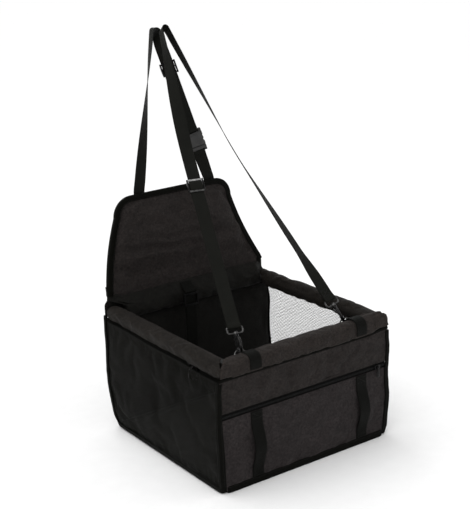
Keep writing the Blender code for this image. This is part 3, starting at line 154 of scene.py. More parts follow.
BACKREST_HEIGHT = 187 * MM
BACKREST_THICK = 8 * MM
BACKREST_TAPE_THICK = 1.3 * MM
BACKREST_CROWN = 5 * MM
BACKREST_LEAN = math.radians(12)
BACKREST_FOOT_HALF = 193 * MM
BACKREST_TOP_HALF = 142 * MM
BACKREST_CORNER = 38 * MM
BACKREST_SHIFT = 9 * MM
BACKREST_SWAY = 9 * MM
HEADREST_FOOT_X = 87 * MM
HEADREST_PEAK = Vector((-5 * MM, 275 * MM, 797 * MM))
FRONT_PEAK = Vector((-5 * MM, 242 * MM, 800 * MM))
PEAK_BEND = 7 * MM
FRONT_SAG = 24 * MM
FRONT_BOW = (-5 * MM, 13 * MM)
FRONT_SAG_AT = (0.63, 0.58)
SAG_REACH = 45 * MM
BUCKLE_HEIGHT = 62 * MM
FRONT_GLIDE_AT = 296 * MM
HEADREST_GLIDE_AT = 142 * MM
FRONT_LEFT_TURN = math.radians(-14)
FRONT_PEAK_TURN = math.radians(-100)
FRONT_RIGHT_TURN = math.radians(-183)
FRONT_MIDDLE_TURNS = ((0.43, math.radians(-130)), (0.77, math.radians(-156)))
BUCKLE_TURN = math.radians(160)
HEADREST_PEAK_TURN = math.radians(78)
SOCKET_LENGTH = 36 * MM
PLUG_BASE = 13 * MM
BUCKLE_BAR = 2.4 * MM
TETHER_X = -22 * MM
TETHER_LENGTH = 165 * MM
TETHER_SEWN = 17 * MM
TETHER_GLIDE_DROP = 33 * MM
TETHER_CLEARANCE = 1.5 * MM

HALF_W = BODY_WIDTH / 2
HALF_D = BODY_DEPTH / 2
FRAME_Z = RIM_TOP - RIM_HALF_HEIGHT
FRAME_X = HALF_W - SIDE_RIM_HALF_WIDTH - 1 * MM
FRONT_TUBE_Y = -HALF_D - RIM_OVERHANG + FRONT_RIM_HALF_WIDTH
FRONT_SEAM_Z = FRAME_Z - RIM_HALF_HEIGHT
SIDE_SEAM_Z = FRAME_Z - SIDE_RIM_DROP
BACK_SEAM_Z = BACK_RIM_TOP - BACK_RIM_HEIGHT
FLOOR_Z = BINDING_THICK
HEADREST_SEWN_OUT = -(
    BACKREST_THICK / 2 + 2 * GAP + BACKREST_TAPE_THICK + WEBBING_THICK / 2
)
HINGE = Vector((0, HALF_D - BACKREST_THICK / 2, BACK_RIM_TOP + GAP + BACKREST_THICK / 2))


# Small helpers


def smoothstep(value):
    """A smooth step from 0 to 1 as the value goes from 0 to 1."""
    value = min(max(value, 0.0), 1.0)
    return value * value * (3 - 2 * value)


def smooth_array(values):
    """smoothstep for an array."""
    values = np.clip(values, 0, 1)
    return values * values * (3 - 2 * values)


def eased(values, start, width):
    """Smooth steps from 0 to 1 that begin at start and take a width, both in millimetres."""
    return smooth_array((values - start * MM) / (width * MM))


def joined(*parts):
    """Arrays that fit each other, broadcast and stacked on a new last axis."""
    return np.stack(np.broadcast_arrays(*parts), axis=-1)


def between_knots(knots, at):
    """Eases between (place, value) knots, and holds the end values."""
    if at <= knots[0][0]:
        return knots[0][1]
    for (a, first), (b, second) in zip(knots, knots[1:]):
        if at <= b:
            return first + (second - first) * smoothstep((at - a) / (b - a))
    return knots[-1][1]


def soft_noise(points, size, seed=0.0):
    """Smooth noise from -1 to 1 at each point, with features about this big in metres."""
    shift = Vector((seed * 3.1, seed * 7.7, seed * 1.3))
    flat = points.reshape(-1, 3)
    found = [noise.noise(Vector(p) / size + shift) for p in flat]
    return np.array(found).reshape(points.shape[:-1])


def spline(points, pitch, closed=False):
    """Points a pitch apart on a smooth centripetal curve through rows of numbers.

    The first three numbers of a row are its place, and any others are carried along.
    """
    points = np.array(points, float)
    if closed:
        points = np.vstack([points[-1], points, points[0], points[1]])
    else:
        points = np.vstack([2 * points[0] - points[1], points, 2 * points[-1] - points[-2]])
    found = []
    for a, b, c, d in zip(points, points[1:], points[2:], points[3:]):
        spans = [np.linalg.norm((q - p)[:3]) for p, q in ((a, b), (b, c), (c, d))]
        t0, t1, t2, t3 = np.cumsum([0.0, *(max(span, 1e-6) ** 0.5 for span in spans)])
        steps = max(int(math.ceil(spans[1] / pitch)), 1)
        for i in range(steps):
            t = t1 + (t2 - t1) * i / steps
            ab = a * (t1 - t) / (t1 - t0) + b * (t - t0) / (t1 - t0)
            bc = b * (t2 - t) / (t2 - t1) + c * (t - t1) / (t2 - t1)
            cd = c * (t3 - t) / (t3 - t2) + d * (t - t2) / (t3 - t2)
            first = ab * (t2 - t) / (t2 - t0) + bc * (t - t0) / (t2 - t0)
            second = bc * (t3 - t) / (t3 - t1) + cd * (t - t1) / (t3 - t1)
            found.append(first * (t2 - t) / (t2 - t1) + second * (t - t1) / (t2 - t1))
    if not closed:
        found.append(points[-2])
    return np.array(found)


def lengths_along(path):
    """The distance along a path at each of its points."""
    steps = np.linalg.norm(np.diff(path, axis=0), axis=1)
    return np.concatenate([[0.0], np.cumsum(steps)])


def placed(name, data):
    """A new object in the scene."""
    made = bpy.data.objects.new(name, data)
    bpy.context.scene.collection.objects.link(made)
    return made


def grid_faces(rows, columns, round_v=False):
    """The four-sided faces between rows of points."""
    faces = []
    for i in range(rows - 1):
        here, above = i * columns, (i + 1) * columns
        for j in range(columns if round_v else columns - 1):
            k = (j + 1) % columns
            faces.append((here + j, above + j, above + k, here + k))
    return faces


class Shape:
    """Collects shells into one mesh, with a UV for each corner in metres."""

    def __init__(self):
        self.points, self.faces, self.uvs, self.looks = [], [], [], []
        self.look = 0

    def add(self, points, faces, uvs):
        base = len(self.points)
        self.points += [tuple(p) for p in points]
        for face, corners in zip(faces, uvs):
            self.faces.append(tuple(base + i for i in face))
            self.uvs += [tuple(c) for c in corners]
            self.looks.append(self.look)

    def grid(self, points, uv, round_v=False, ends=False):
        """A surface over rows of points. With round_v each row closes on itself."""
        rows, columns = points.shape[:2]
        faces, corners = grid_faces(rows, columns, round_v), []
        for i in range(rows - 1):
            for j in range(columns if round_v else columns - 1):
                corners.append((uv[i, j], uv[i + 1, j], uv[i + 1, j + 1], uv[i, j + 1]))
        if ends:
            faces.append(tuple(range(columns)))
            corners.append([uv[0, j] for j in range(columns)])
            last = (rows - 1) * columns
            faces.append(tuple(last + j for j in range(columns))[::-1])
            corners.append([uv[rows - 1, j] for j in range(columns)][::-1])
        self.add(points.reshape(-1, 3), faces, corners)

    def from_bmesh(self, shape, at):
        """Takes a bmesh's faces, put at a matrix, with a box-mapped UV, and frees it."""
        bmesh.ops.recalc_face_normals(shape, faces=shape.faces)
        shape.verts.index_update()
        faces, corners = [], []
        for face in shape.faces:
            faces.append([v.index for v in face.verts])
            n = [abs(c) for c in face.normal]
            keep = [i for i in range(3) if i != n.index(max(n))]
            corners.append([(v.co[keep[0]], v.co[keep[1]]) for v in face.verts])
        self.add([at @ v.co for v in shape.verts], faces, corners)
        shape.free()

    def piece(self, name, looks, body, slot=None, stands_for=(), angle=50, smooth=True):
        """The finished piece, riding on its body."""
        mesh = bpy.data.meshes.new(name)
        mesh.from_pydata(self.points, [], self.faces)
        layer = mesh.uv_layers.new(name="UVMap")
        layer.data.foreach_set("uv", np.array(self.uvs, np.float32).ravel())
        looks = looks if isinstance(looks, (list, tuple)) else [looks]
        for look in looks:
            mesh.materials.append(look)
        mesh.polygons.foreach_set("material_index", self.looks)
        shape = bmesh.new()
        shape.from_mesh(mesh)
        bmesh.ops.recalc_face_normals(shape, faces=shape.faces)
        shape.to_mesh(mesh)
        shape.free()
        if smooth:
            mesh.shade_smooth()
            mesh.set_sharp_from_angle(angle=math.radians(angle))
        made = placed(name, mesh)
        if body:
            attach(made, body)
        if stands_for:
            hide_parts(*([stands_for] if isinstance(stands_for, str) else stands_for))
        return made


def loft(rings, closed=False):
    """A closed bmesh through rings of equal point counts."""
    shape = bmesh.new()
    made = [[shape.verts.new(point) for point in ring] for ring in rings]
    pairs = list(zip(made, made[1:]))
    if closed:
        pairs.append((made[-1], made[0]))
    else:
        shape.faces.new(made[0])
        shape.faces.new(made[-1])
    for first, second in pairs:
        for i in range(len(first)):
            j = (i + 1) % len(first)
            shape.faces.new((first[i], first[j], second[j], second[i]))
    return shape


def circle(centre, radius, u, v, sides):
    """Points round a centre, in the plane of u and v."""
    return [
        centre + radius * (math.cos(a) * u + math.sin(a) * v)
        for a in (2 * math.pi * i / sides for i in range(sides))
    ]


def superellipse(half_u, half_v, power, count, u, v, centre):
    """Points round a rounded box, which is squarer with a higher power."""
    points = []
    for i in range(count):
        a = 2 * math.pi * i / count
        c, s = math.cos(a), math.sin(a)
        along = math.copysign(abs(c) ** (2 / power), c) * half_u
        up = math.copysign(abs(s) ** (2 / power), s) * half_v
        points.append(centre + along * u + up * v)
    return points


def bevelled(shape, width, segments=2, angle=30):
    """Rounds a bmesh's edges that are sharper than an angle."""
    bmesh.ops.recalc_face_normals(shape, faces=shape.faces)
    inner = [e for e in shape.edges if len(e.link_faces) == 2]
    sharp = [e for e in inner if e.calc_face_angle(0) > math.radians(angle)]
    bmesh.ops.bevel(
        shape, geom=sharp, offset=width, segments=segments, profile=0.5,
        affect="EDGES", clamp_overlap=True,
    )
    return shape


def block(low, high, bevel, segments=2):
    """A box between two corners, with rounded edges."""
    low, high = Vector(low), Vector(high)
    shape = bmesh.new()
    bmesh.ops.create_cube(shape, size=1)
    bmesh.ops.scale(shape, vec=high - low, verts=shape.verts)
    bmesh.ops.translate(shape, vec=(low + high) / 2, verts=shape.verts)
    return bevelled(shape, bevel, segments)


def plate(outline, half, bevel, normal=Y):
    """A flat plate from an outline, with rounded edges."""
    shape = loft([[p - normal * half for p in outline], [p + normal * half for p in outline]])
    return bevelled(shape, bevel, 2, 20)


def turned(profile, sides=28):
    """A solid of revolution about Z from (radius, height) points."""
    return loft([circle(Z * height, radius, X, Y, sides) for radius, height in profile])


def wire(path, normal, radii, sides=14, closed=False):
    """A round bar along a flat path whose plane has this normal."""
    rings = []
    count = len(path)
    for i, point in enumerate(path):
        before = path[(i - 1) % count] if closed or i else path[i]
        after = path[(i + 1) % count] if closed or i < count - 1 else path[i]
        side = (after - before).normalized().cross(normal)
        radius = radii[i] if isinstance(radii, list) else radii
        rings.append(circle(point, radius, normal, side, sides))
    return loft(rings, closed)

# Materials


class Look:
    """A node material on one Principled shader, with short calls for its nodes."""

    def __init__(self, name, **sockets):
        self.material = bpy.data.materials.new(name)
        self.material.use_nodes = True
        self.tree = self.material.node_tree
        self.shader = self.tree.nodes["Principled BSDF"]
        self.height = None
        for socket, value in sockets.items():
            title = socket.replace("_", " ").title().replace("Ior", "IOR")
            self.shader.inputs[title].default_value = value
        coordinates = self.node("ShaderNodeTexCoord").outputs
        self.place = coordinates["Object"]
        split = self.node("ShaderNodeSeparateXYZ")
        self.link(coordinates["UV"], split.inputs[0])
        self.u, self.v = split.outputs[0], split.outputs[1]

    def node(self, kind, **settings):
        made = self.tree.nodes.new(kind)
        for key, value in settings.items():
            setattr(made, key, value)
        return made

    def link(self, source, target):
        self.tree.links.new(source, target)

    def feed(self, value, socket):
        if isinstance(value, bpy.types.NodeSocket):
            self.link(value, socket)
        else:
            socket.default_value = value

    def math(self, operation, *values):
        made = self.node("ShaderNodeMath", operation=operation)
        for value, socket in zip(values, made.inputs):
            self.feed(value, socket)
        return made.outputs[0]

    def scaled(self, value, factor, offset):
        """The value times a factor, plus an offset."""
        return self.math("MULTIPLY_ADD", value, factor, offset)

    def ribs(self, value):
        """Rounded ridges from 0 to 1, one for each whole number of the value."""
        return self.math("ABSOLUTE", self.math("SINE", self.math("MULTIPLY", value, math.pi)))

    def noise(self, scale, detail=3.0, roughness=0.55, stretch=None, distortion=0.0):
        """Noise in the object's own space, whose scale is in features a metre."""
        made = self.node("ShaderNodeTexNoise")
        made.inputs["Scale"].default_value = scale
        made.inputs["Detail"].default_value = detail
        made.inputs["Roughness"].default_value = roughness
        made.inputs["Distortion"].default_value = distortion
        if stretch:
            mapping = self.node("ShaderNodeMapping")
            mapping.inputs["Scale"].default_value = stretch
            self.link(self.place, mapping.inputs["Vector"])
            self.link(mapping.outputs[0], made.inputs["Vector"])
        else:
            self.link(self.place, made.inputs["Vector"])
        return made.outputs[0]

    def ramp(self, value, *stops):
        """Colours or greys at places along a value."""
        made = self.node("ShaderNodeValToRGB")
        elements = made.color_ramp.elements
        while len(elements) < len(stops):
            elements.new(0.5)
        for element, (place, colour) in zip(elements, stops):
            element.position = place
            colour = (colour,) * 3 if isinstance(colour, (int, float)) else colour
            element.color = (*colour, 1)
        self.feed(value, made.inputs[0])
        return made.outputs[0]

    def product(self, first, second):
        """Two colours multiplied."""
        made = self.node("ShaderNodeMix", data_type="RGBA", blend_type="MULTIPLY")
        made.inputs[0].default_value = 1.0
        self.link(first, made.inputs[6])
        self.link(second, made.inputs[7])
        return made.outputs[2]

    def colour(self, value):
        self.feed(value, self.shader.inputs["Base Color"])

    def roughness(self, value):
        self.feed(value, self.shader.inputs["Roughness"])

    def bump(self, height, distance, strength):
        """Adds relief to the surface, over any relief that it has."""
        made = self.node("ShaderNodeBump")
        made.inputs["Distance"].default_value = distance
        made.inputs["Strength"].default_value = strength
        self.feed(height, made.inputs["Height"])
        if self.height is not None:
            self.link(self.height, made.inputs["Normal"])
        self.height = made.outputs[0]
        self.link(self.height, self.shader.inputs["Normal"])

    def plain_weave(self, pitch_u, pitch_v):
        """Height of a plain weave from 0 to 1, with threads a pitch apart each way."""
        wander = self.math("MULTIPLY", self.noise(90, 2), 0.35 * MM)
        u = self.math("DIVIDE", self.math("ADD", self.u, wander), pitch_u)
        v = self.math("DIVIDE", self.math("SUBTRACT", self.v, wander), pitch_v)
        cells = self.math("ADD", self.math("FLOOR", u), self.math("FLOOR", v))
        over = self.math("PINGPONG", cells, 1)
        across = self.ribs(u)
        along = self.ribs(v)
        first = self.math("MULTIPLY", across, self.scaled(along, 0.45, 0.55))
        second = self.math("MULTIPLY", along, self.scaled(across, 0.45, 0.55))
        gap = self.math("SUBTRACT", first, second)
        return self.math("ADD", second, self.math("MULTIPLY", over, gap))


def shade(colour, factor):
    return tuple(factor * c for c in colour)


def oxford_look(name, colour, pitch=0.62 * MM, crinkle=0.5):
    """Coated Oxford cloth: a visible plain weave, small crinkles and a faint mottle."""
    look = Look(name, specular_ior_level=0.11, sheen_weight=0.02, sheen_roughness=0.45)
    weave = look.plain_weave(pitch, pitch)
    # The weave's height paints each thread's tone: painted shade between the threads and a
    # painted highlight on their tops.
    dark, light = shade(colour, 0.5), shade(colour, 1.3)
    thread = look.ramp(weave, (0.1, dark), (0.75, colour), (1.0, light))
    mottle = look.ramp(look.noise(17, 5, 0.6, distortion=1.4), (0.3, 0.80), (0.7, 1.20))
    flecks = look.ramp(look.noise(260, 3, 0.7), (0.3, 0.42), (0.7, 1.58))
    look.colour(look.product(look.product(thread, mottle), flecks))
    look.roughness(look.scaled(look.noise(60, 3), 0.2, 0.62))
    look.bump(look.noise(55, 4, 0.55, distortion=0.6), 1.6 * MM, crinkle)
    look.bump(look.noise(210, 3, 0.6), 0.35 * MM, crinkle)
    look.bump(weave, 0.16 * MM, 0.9)
    return look.material


def webbing_look(name, colour, gloss):
    """Polyester webbing: ribs along it, each of small slanted picks, and firm selvedges."""
    look = Look(name, specular_ior_level=gloss)
    rib, pick = 1.15 * MM, 1.5 * MM
    column = look.math("DIVIDE", look.u, rib)
    whole = look.math("FLOOR", column)
    part = look.math("FRACT", column)
    lean = look.math("MULTIPLY", look.math("SUBTRACT", part, 0.5), 0.7)
    side = look.math("PINGPONG", whole, 1)
    slant = look.math("MULTIPLY", lean, look.scaled(side, 2.0, -1.0))
    phase = look.math("ADD", look.math("DIVIDE", look.v, pick), slant)
    phase = look.math("ADD", phase, look.math("MULTIPLY", side, 0.5))
    picks, ribs = look.ribs(phase), look.ribs(column)
    weave = look.math("MULTIPLY", look.math("POWER", ribs, 0.6), look.scaled(picks, 0.5, 0.5))
    # The weave paints the tone: painted shade in the hollows between ribs and picks, and a
    # painted highlight on their tops.
    dark, light = shade(colour, 0.4), shade(colour, 1.5)
    thread = look.ramp(weave, (0.05, dark), (0.7, colour), (1.0, light))
    mottle = look.ramp(look.noise(40, 3), (0.3, 0.88), (0.7, 1.12))
    look.colour(look.product(thread, mottle))
    look.roughness(look.scaled(weave, -0.15, 0.66))
    look.bump(look.noise(160, 2), 0.3 * MM, 0.35)
    look.bump(weave, 0.3 * MM, 0.9)
    return look.material


def binding_look(name, colour):
    """Ribbed tape: fine ribs across its run, v, each lighter on top as a painted highlight and
    darker between as painted shade.
    """
    look = Look(name, specular_ior_level=0.045)
    ribs = look.ribs(look.math("DIVIDE", look.v, 0.8 * MM))
    fine = look.ribs(look.math("DIVIDE", look.u, 0.45 * MM))
    weave = look.math("MULTIPLY", ribs, look.scaled(fine, 0.25, 0.75))
    # Painted shade between the ribs and a painted highlight on their tops.
    dark, light = shade(colour, 0.45), shade(colour, 1.5)
    thread = look.ramp(weave, (0.1, dark), (0.7, colour), (1.0, light))
    mottle = look.ramp(look.noise(35, 3), (0.3, 0.85), (0.7, 1.15))
    look.colour(look.product(thread, mottle))
    look.roughness(look.scaled(look.noise(80, 2), 0.2, 0.5))
    look.bump(look.noise(75, 3), 0.7 * MM, 0.4)
    look.bump(weave, 0.22 * MM, 0.9)
    return look.material


def net_look():
    """Knitted polyester yarn, twisted fine along each strand."""
    look = Look("net_yarn", specular_ior_level=0.08)
    twist = look.noise(2600, 1, stretch=(1, 0.35, 0.35))
    look.colour(look.ramp(twist, (0.3, (0.003, 0.003, 0.0022)), (0.7, (0.009, 0.009, 0.0075))))
    look.roughness(look.scaled(twist, 0.2, 0.5))
    look.bump(twist, 0.12 * MM, 0.7)
    return look.material


def metal_look(name, colour, worn):
    """Cast metal under dark plating: clouded, with fine scratches and a worn tone."""
    look = Look(name, metallic=1.0)
    cloud = look.noise(140, 4, 0.6)
    look.colour(look.ramp(cloud, (0.35, colour), (0.75, worn)))
    scratches = look.noise(900, 3, 0.7, stretch=(1, 1, 0.12))
    rough = look.scaled(scratches, 0.16, 0.14)
    look.roughness(look.math("ADD", rough, look.math("MULTIPLY", cloud, 0.1)))
    look.bump(look.noise(320, 3), 0.12 * MM, 0.5)
    look.bump(scratches, 0.03 * MM, 0.5)
    return look.material


def plastic_look(name, colour, gloss=0.1):
    """Moulded acetal: a fine eroded grain, slightly polished on its high spots."""
    look = Look(name, specular_ior_level=gloss)
    pits = look.noise(2200, 2, 0.5)
    flow = look.noise(45, 3, 0.5)
    look.colour(look.ramp(flow, (0.3, colour), (0.75, shade(colour, 1.35))))
    look.roughness(look.scaled(flow, 0.14, look.scaled(pits, 0.1, 0.2)))
    look.bump(pits, 0.05 * MM, 0.5)
    look.bump(look.noise(90, 2), 0.2 * MM, 0.3)
    return look.material


def coil_look():
    """Nylon monofilament of the zip's teeth."""
    look = Look("zip_filament", specular_ior_level=0.15)
    grain = look.noise(700, 2)
    look.colour(look.ramp(grain, (0.3, (0.002, 0.002, 0.002)), (0.7, (0.005, 0.005, 0.005))))
    look.roughness(look.scaled(grain, 0.15, 0.3))
    look.bump(grain, 0.05 * MM, 0.5)
    return look.material


def tape_look():
    """The zip's woven tape, a herringbone of fine ribs."""
    look = Look("zip_tape_cloth", specular_ior_level=0.08)
    column = look.math("DIVIDE", look.v, 2.2 * MM)
    side = look.math("PINGPONG", column, 1)
    rib = look.math("DIVIDE", look.u, 0.7 * MM)
    ribs = look.ribs(look.math("ADD", rib, look.math("MULTIPLY", side, 1.6)))
    # The ribs' tone is painted shade in the hollows and a painted highlight on each rib.
    look.colour(look.ramp(ribs, (0.1, (0.0012, 0.0012, 0.001)), (0.9, (0.004, 0.004, 0.0035))))
    look.roughness(look.scaled(look.noise(90, 2), 0.15, 0.65))
    look.bump(ribs, 0.14 * MM, 0.8)
    return look.material


def thread_look(name, colour):
    """Sewing thread with its ply showing as slanted bands."""
    look = Look(name, specular_ior_level=0.15)
    run = look.math("DIVIDE", look.v, 0.45 * MM)
    ply = look.ribs(look.math("ADD", run, look.math("DIVIDE", look.u, 0.9 * MM)))
    # Each ply ridge is lighter as a painted highlight.
    look.colour(look.ramp(ply, (0.1, colour), (0.9, shade(colour, 1.6))))
    look.roughness(look.scaled(ply, -0.1, 0.55))
    look.bump(ply, 0.08 * MM, 0.8)
    return look.material


def tube_look():
    """Extruded plastic pipe: faint draw lines and scuffs."""
    look = Look("frame_pipe", specular_ior_level=0.15)
    scuff = look.noise(60, 5, 0.65)
    lines = look.noise(500, 2, 0.5, stretch=(0.04, 0.04, 1))
    look.colour(look.ramp(scuff, (0.3, (0.005, 0.005, 0.0045)), (0.7, (0.009, 0.009, 0.0085))))
    look.roughness(look.scaled(scuff, 0.2, 0.28))
    look.bump(lines, 0.06 * MM, 0.5)
    return look.material


def board_look(name, light, dark):
    """Pressed fibre board, with its fibres and a few flecks."""
    look = Look(name, specular_ior_level=0.25)
    fibres = look.noise(420, 4, 0.7, stretch=(1, 0.25, 1))
    flecks = look.noise(130, 3, 0.6)
    tone = look.ramp(fibres, (0.3, dark), (0.7, light))
    look.colour(look.product(tone, look.ramp(flecks, (0.4, 0.85), (0.6, 1.05))))
    look.roughness(look.scaled(fibres, 0.2, 0.68))
    look.bump(fibres, 0.12 * MM, 0.6)
    return look.material


def floor_look():
    look = Look("studio_floor", specular_ior_level=0.1)
    grain = look.noise(35, 3)
    look.colour(look.ramp(grain, (0.3, 0.90), (0.7, 0.92)))
    look.roughness(look.scaled(grain, 0.1, 0.8))
    look.bump(grain, 0.05 * MM, 0.1)
    return look.material


LOOKS = {
    "oxford": oxford_look("oxford_cloth", (0.0200, 0.0163, 0.0152)),
    # The pocket's cloth is a lighter copy of the Oxford cloth: painted light for the dimmer lower
    # front, with a slightly bluer tone of its own.
    "pocket": oxford_look("pocket_cloth", (0.0238, 0.0195, 0.0196), crinkle=0.65),
    "rim": oxford_look("rim_cloth", (0.0216, 0.0172, 0.0152), crinkle=0.6),
    # The side rims' cloth is the rim cloth at about half its brightness: painted shade.
    "side_rim_shaded": oxford_look("side_rim_shaded_cloth", (0.0108, 0.0086, 0.0068), crinkle=0.6),
    "lining": oxford_look("lining_cloth", (0.0060, 0.0056, 0.0044), 0.5 * MM, 0.35),
    "binding": binding_look("binding_tape", (0.0022, 0.0022, 0.0014)),
    "webbing": webbing_look("strap_webbing", (0.0062, 0.0064, 0.0050), 0.07),
    "band": webbing_look("band_webbing", (0.0024, 0.0025, 0.0018), 0.06),
    "net": net_look(),
    "metal": metal_look("dark_plating", (0.009, 0.009, 0.0095), (0.034, 0.033, 0.032)),
    # Bright plating paints a highlight on the front slider's top bar.
    "highlight": metal_look("highlight_plating", (0.30, 0.30, 0.30), (0.50, 0.49, 0.48)),
    "grey": metal_look("grey_plating", (0.045, 0.045, 0.045), (0.14, 0.138, 0.135)),
    "plastic": plastic_look("moulded_plastic", (0.003, 0.003, 0.003)),
    "buckle": plastic_look("buckle_plastic", (0.016, 0.0155, 0.015), gloss=0.45),
    "coil": coil_look(),
    "tape": tape_look(),
    "thread": thread_look("sewing_thread", (0.008, 0.0075, 0.007)),
    "tube": tube_look(),
    "board": board_look("covered_board", (0.008, 0.008, 0.007), (0.004, 0.004, 0.0035)),
    "stiffener": board_look("stiffener_board", (0.10, 0.10, 0.10), (0.05, 0.05, 0.05)),
    "floor": floor_look(),
}

# Routes of the straps


def ring_bar(x):
    """The middle of a D ring's straight bar, on the inner side of the front rim."""
    inner = FRONT_TUBE_Y + FRONT_RIM_HALF_WIDTH
    return Vector((x, inner + GAP + 2 * WEBBING_THICK + RING_WIRE, FRAME_Z - RING_DROP))


def leg_bend(x):
    """Where a leg of the front strap bends as it sags between its ring and the peak."""
    start = ring_bar(x)
    chord = FRONT_PEAK - start
    ahead = chord.normalized()
    down = (ahead * ahead.z - Z).normalized()
    leg = 0 if x < 0 else 1
    return start + chord * FRONT_SAG_AT[leg] + down * FRONT_SAG + X * FRONT_BOW[leg]


def leg_direction(x):
    """The way that a leg of the front strap leaves its ring."""
    return (leg_bend(x) - ring_bar(x)).normalized()


def hook_seat(x):
    """Where a hook's bend holds the ring, on the ring's own arc."""
    bar, towards = ring_bar(x), leg_direction(x)
    rise = (towards - towards.dot(X) * X).normalized()
    lift = RING_HEIGHT - RING_WIRE - HOOK_SEAT_GAP - HOOK_WIRE
    side = lift * towards.dot(X) / towards.dot(rise)
    return bar + rise * lift + X * side


def axes_matrix(x_axis, y_axis, z_axis, origin):
    """The frame with these axes at an origin."""
    made = Matrix((x_axis, y_axis, z_axis)).transposed().to_4x4()
    made.translation = origin
    return made


def front_hook_frame(x):
    """A frame at the swivel, with Z up the strap and X along the eye's bar."""
    towards = leg_direction(x)
    origin = hook_seat(x) + towards * HOOK_LENGTH
    turn, way = (FRONT_LEFT_TURN, 1) if x < 0 else (FRONT_RIGHT_TURN, -1)
    return strap_frame(origin, towards, way * strap_across(FRONT_PEAK, ring_bar(0), turn))


def strap_across(peak, foot_middle, angle):
    """The width direction of a strap hung on its peak, turned by an angle."""
    down = (foot_middle - peak).normalized()
    normal = X.cross(down).normalized()
    if normal.y < 0:
        normal = -normal
    return math.cos(angle) * X + math.sin(angle) * normal


def fold_round(bar, along, out, bar_radius):
    """Webbing round a bar, from the layer behind it to the layer in front.

    along is the way that both layers leave the bar, and out is the side of the last one.
    """
    wrap = bar_radius + GAP + WEBBING_THICK / 2
    far, near = bar + along * 11 * MM, bar + along * 5 * MM
    points = [far - out * HALF_LAYER, near - out * (wrap * 0.82)]
    for i in range(7):
        a = math.pi * i / 6
        points.append(bar - wrap * (math.sin(a) * along + math.cos(a) * out))
    return points + [near + out * (wrap * 0.82), far + out * HALF_LAYER]


def sewn_end(bar, along, out, bar_radius=RING_WIRE):
    """Webbing folded round a bar, with its end sewn down behind the leg that leaves."""
    start = bar + along * SEWN_RETURN - out * HALF_LAYER
    return [start, *fold_round(bar, along, out, bar_radius)]


def doubled_end(bar, along, out, glide, bar_radius=RING_WIRE):
    """Webbing sewn to a glide, led down behind the leg, round a bar and up again."""
    start = glide_fold(glide)
    fold = fold_round(bar, along, out, bar_radius)
    return start + spread_points(start[-1], fold[0], STRAP_PITCH) + fold


def glide_bar_depth():
    """How far behind the webbing's middle a glide's sewn bar lies."""
    return WEBBING_THICK / 2 + GAP + GLIDE_BAR + GAP + WEBBING_THICK


def glide_fold(frame):
    """The webbing's end, sewn round a glide's middle bar, in the order that it runs."""
    layer = WEBBING_THICK + LAYER_GAP
    wrap = GLIDE_BAR + GAP + WEBBING_THICK / 2
    depth = glide_bar_depth()
    points = [(layer, -GLIDE_RETURN), (layer, -6 * MM)]
    for i in range(7):
        a = math.pi * i / 6
        points.append((depth - wrap * math.cos(a), wrap * math.sin(a)))
    points += [(2 * layer + 1 * MM, -8 * MM), (2 * layer, -14 * MM)]
    points += [(2 * layer, -GLIDE_RETURN - 2 * MM), (layer, -GLIDE_RETURN - 14 * MM)]
    return [frame @ Vector((0, y, z)) for y, z in points]


def spread_points(start, end, pitch):
    """Evenly spaced points from start to end, without the ends."""
    count = max(int((end - start).length / pitch), 1)
    return [start.lerp(end, i / count) for i in range(1, count)]


def soft_bend(start, bend, end):
    """Points of a leg from start to end that turns softly at its bend, without the ends."""
    first = bend + (start - bend).normalized() * SAG_REACH
    last = bend + (end - bend).normalized() * SAG_REACH
    points = spread_points(start, first, STRAP_PITCH)
    for i in range(7):
        t = i / 6
        points.append(first * (1 - t) ** 2 + bend * 2 * t * (1 - t) + last * t**2)
    return points + spread_points(last, end, STRAP_PITCH)


def peak_turn(before, peak, after):
    """The strap's bend over its hanger: its top is the peak, and it is tangent to both legs."""
    half = (before - peak).angle(after - peak) / 2
    up = -((before - peak).normalized() + (after - peak).normalized()).normalized()
    vertex = peak + up * PEAK_BEND * (1 / math.sin(half) - 1)
    centre = peak - up * PEAK_BEND
    reach = PEAK_BEND / math.tan(half)
    start = vertex + (before - vertex).normalized() * reach
    end = vertex + (after - vertex).normalized() * reach
    spoke, last = (start - centre).normalized(), (end - centre).normalized()
    return [centre + PEAK_BEND * spoke.slerp(last, i / 8) for i in range(9)]


def length_of(path):
    """The whole length of a path of vectors."""
    return sum((b - a).length for a, b in zip(path, path[1:]))


def strap_frame(origin, along, across):
    """A frame on a strap: Z along it, X across it, -Y out of the side that shows."""
    across = (across - across.dot(along) * along).normalized()
    return axes_matrix(across, along.cross(across), along, origin)


def on_backrest(x, up, out):
    """A point of the leaning backrest: up from its seam, out of its front face."""
    turned_by = Matrix.Rotation(-BACKREST_LEAN, 3, "X")
    return HINGE + turned_by @ Vector((x, -out, up))


def backrest_half_width(up):
    """Half of the backrest's width at a height above its seam."""
    straight = BACKREST_HEIGHT - BACKREST_CORNER
    slope = (BACKREST_FOOT_HALF - BACKREST_TOP_HALF) / straight
    if up <= straight:
        return BACKREST_FOOT_HALF - slope * max(up, 0)
    rise = min(up - straight, BACKREST_CORNER)
    return BACKREST_TOP_HALF - BACKREST_CORNER + math.sqrt(BACKREST_CORNER**2 - rise**2)


def headrest_foot(sign):
    """Where a leg of the headrest strap leaves the top of the backrest, behind it."""
    return on_backrest(sign * HEADREST_FOOT_X, BACKREST_HEIGHT + 3 * MM, HEADREST_SEWN_OUT)


def headrest_sewn(sign):
    """The strap's sewn stretch behind the backrest, from its end up to the top."""
    x = sign * HEADREST_FOOT_X
    ups = (BACKREST_HEIGHT - 34 * MM, BACKREST_HEIGHT - 12 * MM)
    return [on_backrest(x, up, HEADREST_SEWN_OUT) for up in ups] + [headrest_foot(sign)]


def headrest_middle():
    """The point between the feet of the headrest strap."""
    return (headrest_foot(-1) + headrest_foot(1)) / 2


